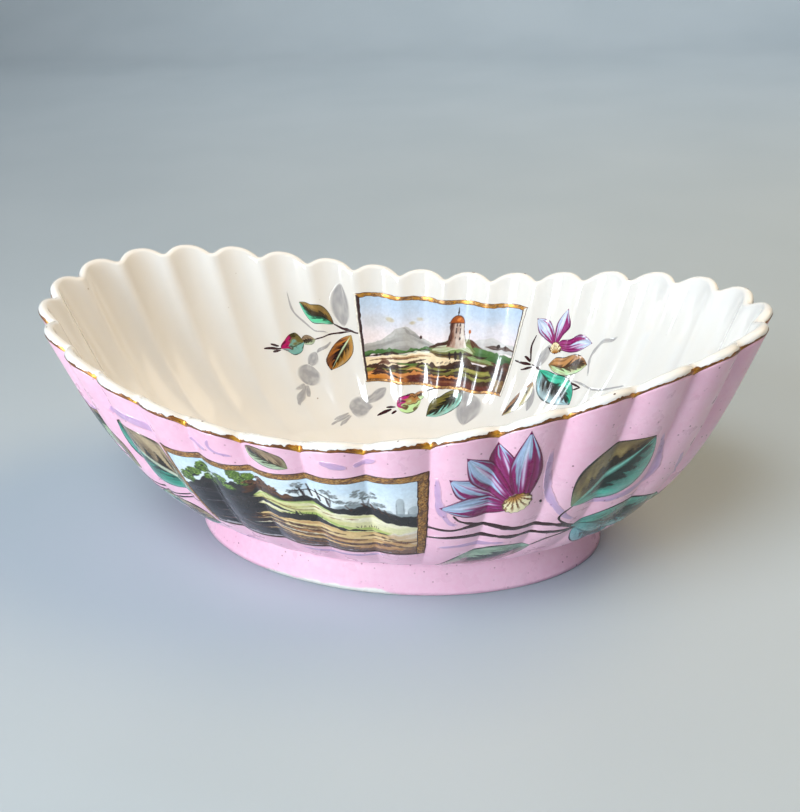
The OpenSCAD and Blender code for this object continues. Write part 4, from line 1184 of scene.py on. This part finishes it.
def inner_sprays():
    """The flower, leaves and two buds round the inner panel."""
    petals = [((54.8, 0.595), (62.1, 0.768), ((57.6, 0.722), (60.4, 0.655)), 0.2, 0.44, 0.12),
              ((53.3, 0.595), (44.8, 0.613), ((50.1, 0.672), (49.1, 0.560)), 0.1, 0.44, 0.12),
              ((54.0, 0.590), (52.8, 0.838), ((55.4, 0.71), (52.2, 0.73)), -0.7, 0.44, 0.18)]
    flower = petal_sheets(petals, (PALE_LILAC, MAGENTA, DEEP_PLUM), 400, INNER)
    flower.append(fan_sheet((53.9, 0.577), 3.0, 160, 410, INNER, 0.36))
    leaves = leaf_sheets([
        ("bright_leaf", (116.1, 0.61), (123.7, 0.735), ((118.9, 0.745), (121.0, 0.645)), BRIGHT, 0.12),
        ("amber_leaf", (110.7, 0.56), (119.4, 0.335), ((118.6, 0.455), (111.6, 0.42)), AMBER, 0.12),
        ("green_leaf", (77.5, 0.25), (88.4, 0.07), ((85.4, 0.205), (78.6, 0.13)), DARK_OLIVE, 0.12),
        ("tan_leaf", (54.5, 0.465), (44.0, 0.49), ((50.3, 0.55), (48.9, 0.415)), TAN, 0.12),
        ("sea_leaf", (57.0, 0.42), (43.4, 0.255), ((48.2, 0.395), (53.9, 0.275)), SEA, 0.17),
        ("low_leaf", (57.6, 0.345), (62.9, 0.135), ((61.9, 0.25), (57.0, 0.225)), SPRING, 0.12)], 420, INNER)
    # Name, then base, tip and widest places of the bud and of its leaf, and the colours of both
    buds = [("left_bud", ((125.0, 0.485), (131.2, 0.472), ((127.9, 0.54), (128.3, 0.41))),
             ((120.6, 0.53), (126.2, 0.478), ((124.0, 0.53), (122.6, 0.478))), ROSE_BUD, OLIVE),
            ("low_bud", ((91.2, 0.155), (99.0, 0.122), ((95.4, 0.20), (94.6, 0.082))),
             ((89.6, 0.212), (94.8, 0.158), ((92.8, 0.205), (91.0, 0.162))), SPRING_BUD, TAN)]
    for i, (name, bud, leaf, bud_style, leaf_style) in enumerate(buds):
        leaves[name] = [leaf_sheet(*bud, bud_paint, bud_style, 480 + 10 * i, INNER, 0.2, ROUND_OUTLINE),
                        leaf_sheet(*leaf, leaf_paint, leaf_style, 485 + 10 * i, INNER, 0.16)]
    lines = [([(116.1, 0.61), (113.4, 0.585), (110.7, 0.59), (108.7, 0.60)], 1.5),
             ([(120.7, 0.53), (118.4, 0.552), (114.3, 0.556), (110.7, 0.585)], 0.9),
             ([(90.0, 0.21), (87.4, 0.242), (84.5, 0.262)], 0.5),
             ([(61.2, 0.65), (61.9, 0.58), (60.9, 0.48)], 1.1), ([(64.0, 0.49), (60.5, 0.455)], 1.6),
             ([(63.0, 0.53), (60.9, 0.475)], 1.3), ([(63.1, 0.44), (59.8, 0.437)], 1.2),
             ([(60.2, 0.455), (57.2, 0.425), (54.5, 0.39)], 1.0), ([(48.2, 0.375), (43.0, 0.36)], 1.3),
             ([(43.0, 0.36), (45.0, 0.335)], 1.0), ([(131.2, 0.472), (136.8, 0.443)], 1.5),
             ([(131.4, 0.487), (134.0, 0.476)], 1.2), ([(131.3, 0.462), (134.0, 0.43)], 1.2),
             ([(99.6, 0.112), (103.3, 0.103)], 1.0), ([(101.3, 0.095), (107.2, 0.062)], 1.6),
             ([(99.3, 0.092), (101.4, 0.070)], 1.2), ([(56.2, 0.565), (55.0, 0.548), (53.6, 0.55)], 1.2)]
    stems = ribbon_sheets(lines, STEM, 500, side=INNER, taper=0.6)
    grey_leaves = [((113.0, 0.595), (112.1, 0.89), ((116.7, 0.73), (110.0, 0.72))),
                   ((121.2, 0.445), (125.6, 0.335), ((124.6, 0.405), (121.6, 0.375))),
                   ((109.6, 0.135), (102.6, 0.222), ((104.4, 0.155), (107.4, 0.205))),
                   ((76.3, 0.25), (73.9, 0.045), ((79.2, 0.13), (69.8, 0.145))),
                   ((55.8, 0.585), (58.3, 0.43), ((58.9, 0.51), (55.2, 0.50))),
                   ((56.6, 0.31), (55.0, 0.17), ((57.4, 0.24), (54.4, 0.235)))]
    shades = [leaf_sheet(base, tip, sides, shade_paint, INNER_SHADE, 520 + i, side=INNER, height=0.04)
              for i, (base, tip, sides) in enumerate(grey_leaves)]
    grey_buds = [((125.2, 0.35), (127.6, 0.225), ((130.0, 0.32), (122.0, 0.285))),
                 ((108.0, 0.12), (116.8, 0.088), ((111.4, 0.172), (113.4, 0.045)))]
    shades += [leaf_sheet(base, tip, sides, shade_paint, INNER_SHADE, 530 + i, side=INNER, height=0.05,
                          shape=ROUND_OUTLINE)
               for i, (base, tip, sides) in enumerate(grey_buds)]
    grey_lines = [([(127.0, 0.79), (126.3, 0.67), (122.5, 0.605), (118.4, 0.565)], 1.3),
                  ([(118.0, 0.505), (119.8, 0.48), (121.2, 0.44)], 1.3),
                  ([(128.8, 0.24), (131.2, 0.222)], 2.0), ([(128.6, 0.235), (132.8, 0.13)], 2.6),
                  ([(128.0, 0.23), (129.2, 0.165)], 2.4), ([(117.4, 0.075), (123.8, 0.042)], 1.6),
                  ([(117.2, 0.065), (126.0, 0.02)], 1.7), ([(116.8, 0.06), (122.5, 0.015)], 1.6),
                  ([(39.8, 0.70), (42.4, 0.62), (43.8, 0.53), (42.3, 0.44)], 1.7),
                  ([(46.8, 0.385), (41.9, 0.385), (37.4, 0.375), (33.4, 0.40), (30.6, 0.435)], 1.3)]
    shades += ribbon_sheets(grey_lines, INNER_SHADE, 540, side=INNER, height=0.04, taper=0.5,
                            paint=shade_paint)
    return flower, stems, shades, leaves


# ---------------------------------------------------------------- the painted panels and their frames

# Frame corners as (turn, level), clockwise from the viewer's top left, and the frame's widths in
# millimetres; the top edge bows up in the middle by a share of the wall
OUTER_CORNERS = ((234.5, 0.782), (288.5, 0.86), (288.5, 0.24), (236.7, 0.27))
TOP_BOW = 0.018
OUTER_WIDTHS = {"top": 3.1, "right": 4.0, "bottom": 1.3, "left": 2.4}
INNER_CORNERS = ((108.7, 0.872), (63.7, 0.852), (65.2, 0.236), (108.6, 0.272))
INNER_WIDTHS = {"top": 2.1, "right": 1.7, "bottom": 1.4, "left": 0.7}
# Columns and rows of the two pictures, how far the pictures stop inside the corners, and the heights of
# the picture and the frame over the ground
LANE_GRID, FOLLY_GRID = (384, 188), (312, 202)
PANEL_INSET, PANEL_HEIGHT, FRAME_HEIGHT = 0.5 * MM, 0.10 * MM, 0.20 * MM
# Steps along the frame's long and short sides, and across it
LONG_STEPS, SHORT_STEPS, FRAME_ROWS = 260, 130, 15
BOTTOM, RIGHT, TOP, LEFT = range(4)


def in_panel(corners, s, v):
    """Turn and level of a place in a panel: s across from the viewer's left, v up."""
    top_left, top_right, bottom_right, bottom_left = (evened(corner) for corner in corners)
    s, v = s[..., None], v[..., None]
    place = ((bottom_left * (1 - s) + bottom_right * s) * (1 - v)
             + (top_left * (1 - s) + top_right * s) * v)
    bow = TOP_BOW * 4 * s[..., 0] * (1 - s[..., 0]) * v[..., 0]
    return place[..., 0], place[..., 1] + bow


def panel_size(corners):
    """Width and height of a panel along the wall, in metres."""
    s, v = np.linspace(0, 1, 41), np.full(41, 0.5)
    across = outside(*in_panel(corners, s, v))
    up = outside(*in_panel(corners, v, s))
    return (np.linalg.norm(np.diff(across, axis=0), axis=1).sum(),
            np.linalg.norm(np.diff(up, axis=0), axis=1).sum())


def panel_sheet(corners, side, paint, grid, seed):
    """The picture inside a frame; paint lays its strokes."""
    wide, high = panel_size(corners)
    picture = Picture(wide / high, *grid, seed)
    paint(picture)
    s = PANEL_INSET / wide + picture.s * (1 - 2 * PANEL_INSET / wide)
    v = PANEL_INSET / high + picture.v * (1 - 2 * PANEL_INSET / high)
    return sheet(in_panel(corners, s, v), PANEL_HEIGHT * np.ones_like(s), side, picture.colour)


def frame_sheet(corners, side, widths, paint, wander, seed):
    """A frame's four sides as one ring; its edges wander by a share of its width."""
    wide, high = panel_size(corners)
    left, right = (widths[name] * MM / wide for name in ("left", "right"))
    bottom, top = (widths[name] * MM / high for name in ("bottom", "top"))
    long = np.linspace(0, 1, LONG_STEPS, endpoint=False)
    tall = np.linspace(0, 1, SHORT_STEPS, endpoint=False)
    s = np.concatenate([long, np.ones(SHORT_STEPS), 1 - long, np.zeros(SHORT_STEPS)])
    v = np.concatenate([np.zeros(LONG_STEPS), tall, np.ones(LONG_STEPS), 1 - tall])
    run = np.concatenate([long * wide, wide + tall * high, wide + high + long * wide,
                          2 * wide + high + tall * high])
    which = np.repeat([BOTTOM, RIGHT, TOP, LEFT], [LONG_STEPS, SHORT_STEPS, LONG_STEPS, SHORT_STEPS])
    a = np.linspace(0, 1, FRAME_ROWS)[:, None]
    inner_edge = 1 + wander * cloud(run / (2.5 * MM), run * 0, seed)[None]
    outer_edge = wander * 0.6 * cloud(run / (2.0 * MM), run * 0, seed + 1)[None]
    reach = outer_edge + (inner_edge - outer_edge) * a
    in_s = left * (1 - s) - right * s
    in_v = bottom * (1 - v) - top * v
    places = in_panel(corners, s + in_s * reach, v + in_v * reach)
    crown = FRAME_HEIGHT * (0.55 + 0.45 * np.sin(math.pi * a) ** 0.5) * np.ones_like(reach)
    tint = paint(a + 0 * reach, run[None] / MM + 0 * reach, which[None] + 0 * reach, seed)
    return sheet(places, crown, side, tint, wrap=True)


def with_metal(colour, metal):
    """Colours with how metallic they are as the fourth value."""
    return np.concatenate([colour, metal[..., None]], -1)


def gold_tint(a, run, seed):
    """The colour of worn brown gold with speckles, and how metallic it is."""
    speckle = cloud(run * 2.2, a * 7, seed + 5, octaves=3)
    worn = step_up(cloud(run * 0.35, a * 1.5, seed + 6) + 0.5 * speckle, 0.35, 0.85)
    colour = blend((214, 164, 98), (118, 78, 50), 0.45 + 1.1 * speckle)
    colour = blend(colour, (232, 206, 158), step_up(speckle, 0.55, 0.9) * 0.8)
    colour = blend(colour, (76, 44, 36), worn * 0.45)
    return colour, 0.5 * (1 - worn)


def outer_frame_paint(a, run, which, seed):
    """Gold between two dark lines, darker along the bottom."""
    colour, metal = gold_tint(a, run, seed)
    line = np.maximum(step_up(a, 0.17, 0.10), step_up(a, 0.86, 0.92))
    line = np.maximum(line * (0.85 + 0.3 * cloud(run * 0.5, a * 2, seed + 7)), (which == BOTTOM) * 0.8)
    colour = blend(colour, (52, 26, 32), line)
    return with_metal(colour, metal * (1 - np.clip(line, 0, 1)))


def inner_frame_paint(a, run, which, seed):
    """Gold along the top and bottom, with painted highlights of bright yellow in patches along the top; dark
    lines on white up the two sides.
    """
    colour, metal = gold_tint(a, run, seed)
    # Painted highlight: brighter, more metallic yellow gold in patches along the top side
    painted_glint = (which == TOP) * step_up(cloud(run * 0.5, a * 2, seed + 9), -0.5, 0.3)
    colour = blend(colour, (222, 160, 66), painted_glint * 0.8)
    metal = np.maximum(metal, 0.8 * painted_glint)
    upright = (which == RIGHT) | (which == LEFT)
    line = np.maximum(step_up(a, 0.16, 0.08), step_up(a, 0.84, 0.91))
    colour = blend(colour, (70, 40, 36), line * (0.7 + 0.4 * cloud(run * 0.5, a * 2, seed + 7)))
    right = blend((236, 232, 222), (52, 28, 30), step_up(a, 0.56, 0.66) + step_up(a, 0.1, 0.02))
    left = blend((236, 232, 222), (52, 28, 30), step_up(a, 0.30, 0.40))
    colour = np.where((which == RIGHT)[..., None], right, colour)
    colour = np.where((which == LEFT)[..., None], left, colour)
    return with_metal(colour, metal * ~upright)


# ---------------------------------------------------------------- gilding on the rim

# The gilding's pools are fullest at one turn, on the front of the bowl, and opposite it they fall to this
# share; the painted glint at the notches falls off the same way
FULL_TURN, BACK_GOLD = 262, 0.45
# Columns of the gilding's grid in one flute, and rows across it
RIM_COLUMNS, RIM_ROWS = 56, 17
# Millimetres of rim in one degree of turn, about
RIM_DEGREE = 2.14
# Dark fired spots and small chips on the lip: turn, way over the lip, length and width in millimetres
CHIPS = ((79.3, 3.4, 1.9, 1.0), (66.5, 3.2, 1.4, 0.8), (146.0, 3.0, 0.9, 0.6), (41.0, 3.4, 0.7, 0.5),
         (203.0, 3.2, 0.7, 0.6), (318.0, 2.6, 0.9, 0.5), (283.5, 3.1, 0.6, 0.4), (12.0, 2.9, 0.8, 0.6))


def over_rim(turn, way, lift):
    """Points on the way up the outside, over the lip and down inside; the lip starts at way 0."""
    half = WALL / 2
    over = math.pi * half
    rise = np.linalg.norm(up_slope(turn, 1.0), axis=-1) / LEVEL_STEP
    outer = skin(turn, np.clip(1 + way / rise, 0, 1), lift)
    top = lip(turn, np.degrees(np.clip(way / half, 0, math.pi)), lift)
    inner = skin(turn, np.clip(1 - (way - over) / rise, 0, 1), -WALL - lift)
    way = way[..., None]
    return np.where(way < 0, outer, np.where(way > over, inner, top))


def rim_sheet(turn, way, height, tint):
    """A layer of colour over the rim, on a grid of places whose columns close round."""
    points = over_rim(turn, way, height).reshape(-1, 3)
    sunk = over_rim(turn, way, np.full_like(turn, SUNK)).reshape(-1, 3)
    faces = grid_faces(*turn.shape, wrap_columns=True)
    return skirted(points, sunk, faces, grid_borders(*turn.shape, True), tint, True)


def make_gilding():
    """A worn gold line along the rim that pools over the lip beside the notches, with a painted glint of
    bright yellow at each notch.
    """
    columns = FLUTES * RIM_COLUMNS
    turn = FLUTE_TURN + np.arange(columns) * 360 / columns
    part = flute_part(turn)
    signed = np.where(part > 0.5, part - 1, part)
    which = np.floor((turn - FLUTE_TURN) * FLUTES / 360 + 0.5).astype(int) % FLUTES
    hand = np.random.default_rng(41)
    reach, tail = hand.uniform(0.7, 1.3, FLUTES)[which], hand.uniform(0.24, 0.46, FLUTES)[which]
    facing = BACK_GOLD + (1 - BACK_GOLD) * (0.5 + 0.5 * np.cos(np.radians(turn - FULL_TURN)))
    blob = facing * np.exp(-np.abs(signed / np.where(signed < 0, tail, 0.11)) ** 1.5)
    ragged = cloud(turn * 1.3, turn * 0, 42, octaves=3)
    low = (-0.45 - 0.35 * blob + 0.14 * cloud(turn * 0.5, turn * 0, 43)) * MM
    high = (0.35 + 0.30 * ragged * (0.4 + facing) + reach * blob * (1 + 0.35 * ragged)) * MM
    high = np.maximum(high, low + 0.3 * MM)
    a = np.linspace(0, 1, RIM_ROWS)[:, None]
    way = low * (1 - a) + high * a
    turns = turn + 0 * way
    millimetres = way / MM
    speckle = cloud(turns * 2.2, millimetres * 2.2, 45, octaves=3)
    # Painted glint: bright yellow gold just beside each notch, strongest on the front of the bowl, and more
    # metallic there
    painted_glint = facing * np.exp(-((signed + 0.035) / 0.075) ** 2) + 0 * way
    streaks = cloud(turns * 0.8, millimetres * 5, 46, octaves=3)
    colour = blend((150, 92, 42), (62, 34, 20), 0.42 + 0.9 * streaks)
    colour = blend(colour, (214, 140, 56), step_up(streaks + 0.3 * speckle, 0.35, 0.8) * 0.8)
    colour = blend(colour, (255, 190, 70), painted_glint * (0.9 + 0.3 * speckle))
    edge = np.maximum(step_up(a, 0.14, 0.03) * 0.7, step_up(a + 0.12 * speckle, 0.84, 0.97))
    colour = blend(colour, (70, 38, 22), edge * (0.7 + 0.35 * speckle) * (1 - 0.5 * painted_glint))
    metal = (0.35 + 0.35 * painted_glint) * (1 - 0.8 * np.clip(edge, 0, 1))
    height = (GROUND + 0.05 * MM) * (1 - a) + 0.07 * MM * a + 0.05 * MM * np.sin(math.pi * a) + 0 * way
    sheets = [rim_sheet(turns, way, height, with_metal(colour, metal))]
    sheets += [chip_sheet(*chip, 50 + i) for i, chip in enumerate(CHIPS)]
    make_piece("gold_rim", sheets, GOLD, "rim_gilding")


def chip_sheet(place, middle, long, across, seed):
    """One chip's ragged spot on the lip."""
    b = np.linspace(0, 2 * math.pi, 25)[None, :-1]
    a = np.linspace(0.05, 1, 6)[:, None]
    edge = a * (1 + 0.25 * cloud(b, b * 0, seed))
    turn = place + edge * np.cos(b) * long / 2 / RIM_DEGREE
    way = (middle + edge * np.sin(b) * across / 2) * MM
    tint = blend((44, 26, 22), (104, 70, 48), step_up(a + 0 * b, 0.4, 1.0))
    return rim_sheet(turn, way, 0.06 * MM + 0 * way, tint)


# ---------------------------------------------------------------- materials

class Shader:
    """A Principled material with short ways to add its nodes."""

    def __init__(self, name, roughness, **values):
        self.material = bpy.data.materials.new(name)
        self.material.use_nodes = True
        self.nodes, self.links = self.material.node_tree.nodes, self.material.node_tree.links
        self.base = self.nodes["Principled BSDF"]
        self.base.inputs["Roughness"].default_value = roughness
        for key, value in values.items():
            self.base.inputs[key.replace("_", " ")].default_value = value
        self.place = self.add("TexCoord").outputs["Object"]
        paint = self.add("Attribute", attribute_name="paint")
        self.paint = paint.outputs["Color"], paint.outputs["Alpha"]

    def add(self, kind, **settings):
        node = self.nodes.new("ShaderNode" + kind)
        for key, value in settings.items():
            setattr(node, key, value)
        return node

    def join(self, output, socket):
        self.links.new(output, socket)

    def noise(self, scale, detail=3.0):
        node = self.add("TexNoise")
        for key, number in (("Scale", scale), ("Detail", detail), ("Roughness", 0.55)):
            node.inputs[key].default_value = number
        self.join(self.place, node.inputs["Vector"])
        return node.outputs["Fac"]

    def specks(self, scale, edge, rarity):
        """Round specks in some of the cells of a random pattern."""
        node, which = self.add("TexVoronoi"), self.add("SeparateColor")
        node.inputs["Scale"].default_value = scale
        self.join(self.place, node.inputs["Vector"])
        self.join(node.outputs["Color"], which.inputs["Color"])
        return self.math("MULTIPLY", self.remap(node.outputs["Distance"], *edge),
                         self.remap(which.outputs["Red"], *rarity))

    def remap(self, value, low, high, start=0.0, end=1.0):
        node = self.add("MapRange")
        for key, number in (("From Min", low), ("From Max", high), ("To Min", start), ("To Max", end)):
            node.inputs[key].default_value = number
        self.join(value, node.inputs["Value"])
        return node.outputs["Result"]

    def math(self, operation, first, second):
        node = self.add("Math", operation=operation)
        self.fill(node.inputs[0], first)
        self.fill(node.inputs[1], second)
        return node.outputs["Value"]

    def mix(self, share, first, second, blend_type="MIX"):
        node = self.add("Mix", data_type="RGBA", blend_type=blend_type)
        for key, value in (("Factor", share), ("A", first), ("B", second)):
            self.fill(node.inputs[key], value)
        return node.outputs["Result"]

    def fill(self, socket, value):
        """Give a socket a number, a colour or a link."""
        if isinstance(value, (int, float)):
            socket.default_value = value
        elif isinstance(value, tuple):
            socket.default_value = (*value, 1.0)
        else:
            self.join(value, socket)

    def finish(self, first, second, roughness, bumps, strength, distance):
        """Multiply two colours for the base; vary the roughness by (scale, low, high); add the bumps."""
        self.join(self.mix(1.0, first, second, "MULTIPLY"), self.base.inputs["Base Color"])
        scale, low, high = roughness
        self.join(self.remap(self.noise(scale), 0.3, 0.7, low, high), self.base.inputs["Roughness"])
        node = self.add("Bump")
        node.inputs["Strength"].default_value = strength
        node.inputs["Distance"].default_value = distance
        self.join(bumps, node.inputs["Height"])
        self.join(node.outputs["Normal"], self.base.inputs["Normal"])
        return self.material


def white_material():
    s = Shader("white_glaze", 0.1, Coat_Weight=0.9, Coat_Roughness=0.03)
    cream = s.mix(s.remap(s.noise(22, 4), 0.35, 0.7), (0.725, 0.72, 0.695), (0.755, 0.753, 0.735))
    cream = s.mix(s.specks(330, (0.20, 0.08), (0.994, 0.996)), cream, (0.22, 0.15, 0.10))
    return s.finish(cream, s.paint[0], (60, 0.06, 0.16), s.noise(170, 3), 0.10, 0.0006)


def pink_material():
    s = Shader("pink_enamel", 0.3, Coat_Weight=0.15, Coat_Roughness=0.1)
    mottle = s.math("ADD", s.math("MULTIPLY", s.noise(45, 4), 0.6), s.math("MULTIPLY", s.noise(420, 3), 0.4))
    pink = s.mix(s.remap(mottle, 0.38, 0.62), (0.83, 0.455, 0.60), (0.87, 0.54, 0.67))
    pink = s.mix(s.remap(s.noise(14, 3), 0.45, 0.75, 0, 0.20), pink, (0.90, 0.66, 0.76))
    specks = s.specks(540, (0.28, 0.12), (0.86, 0.99))
    pink = s.mix(s.math("MULTIPLY", specks, 0.9), pink, (0.20, 0.03, 0.06))
    # The foot's lower edge is worn, most of all near the middle of the long sides; wear is in millimetres
    height = s.add("SeparateXYZ")
    s.join(s.place, height.inputs["Vector"])
    wear = s.math("ADD", s.math("MULTIPLY", height.outputs["Z"], -1000.0),
                  s.math("MULTIPLY", s.noise(70, 4), 5.5))
    beside = s.math("MULTIPLY", s.math("ADD", height.outputs["X"], 0.013), 33.0)
    wear = s.math("SUBTRACT", wear, s.math("MULTIPLY", beside, beside))
    pink = s.mix(s.remap(wear, 0.3, 1.1), pink, (0.80, 0.78, 0.73))
    return s.finish(pink, s.paint[0], (110, 0.24, 0.40), s.noise(330, 4), 0.22, 0.0005)


def enamel_material():
    s = Shader("painted_enamel", 0.22, Coat_Weight=0.7, Coat_Roughness=0.05, Specular_IOR_Level=0.2)
    shade = s.mix(s.remap(s.noise(700, 3), 0.3, 0.7), (0.86, 0.86, 0.86), (1.0, 1.0, 1.0))
    return s.finish(s.paint[0], shade, (160, 0.18, 0.36), s.noise(480, 3), 0.3, 0.0004)


def gold_material():
    s = Shader("worn_gold", 0.35)
    shade = s.mix(s.remap(s.noise(900, 4), 0.35, 0.65), (0.72, 0.70, 0.66), (1.0, 1.0, 1.0))
    s.join(s.paint[1], s.base.inputs["Metallic"])
    return s.finish(s.paint[0], shade, (500, 0.25, 0.5), s.noise(900, 4), 0.4, 0.0003)


def floor_material():
    s = Shader("pale_floor", 0.55)
    s.join(s.mix(s.remap(s.noise(4, 2), 0.35, 0.65), (0.36, 0.425, 0.475), (0.385, 0.45, 0.50)),
           s.base.inputs["Base Color"])
    return s.material


# ---------------------------------------------------------------- everything together

def make_spray(node, parts, shadow_material, turned):
    """The pieces of one spray; every leaf and bud is a piece of its own."""
    flower, stems, shades, leaves = parts
    make_piece(f"{node}_flower", flower, ENAMEL, node, turned)
    make_piece(f"{node}_stems", stems, ENAMEL, node, turned)
    make_piece(f"{node}_shadows", shades, shadow_material, node, turned)
    for name, sheets in leaves.items():
        make_piece(f"{node}_{name}", sheets, ENAMEL, node, turned)


def make_panel(name, turned, panel, border):
    """The pieces of one landscape and its frame."""
    make_piece(f"{name}_landscape", [panel], ENAMEL, f"{name}_panel", turned)
    make_piece(f"{name}_gold_frame", [border], GOLD, f"{name}_panel_frame", turned)


def make_outer_side(name, turned, seed):
    """The paintings outside, on one long side."""
    make_panel(name, turned, panel_sheet(OUTER_CORNERS, OUTER, paint_lane, LANE_GRID, seed),
               frame_sheet(OUTER_CORNERS, OUTER, OUTER_WIDTHS, outer_frame_paint, 0.045, seed + 1))
    make_spray(f"{name}_right_spray", RIGHT_SPRAY, PINK, turned)
    make_spray(f"{name}_left_spray", LEFT_SPRAY, PINK, turned)


def make_inner_side(name, turned, seed):
    """The paintings inside, on one long side."""
    make_panel(name, turned, panel_sheet(INNER_CORNERS, INNER, paint_folly, FOLLY_GRID, seed),
               frame_sheet(INNER_CORNERS, INNER, INNER_WIDTHS, inner_frame_paint, 0.10, seed + 1))
    make_spray(f"{name}_sprays", INNER_SPRAYS, WHITE, turned)


WHITE, PINK, ENAMEL, GOLD = white_material(), pink_material(), enamel_material(), gold_material()
RIGHT_SPRAY, LEFT_SPRAY, INNER_SPRAYS = front_right_spray(), front_left_spray(), inner_sprays()

make_camera()
make_studio()
make_floor()
make_body()
make_foot()
make_ground()
make_gilding()
make_outer_side("front", False, 7)
make_outer_side("back", True, 17)
make_inner_side("inner_back", False, 27)
make_inner_side("inner_front", True, 37)
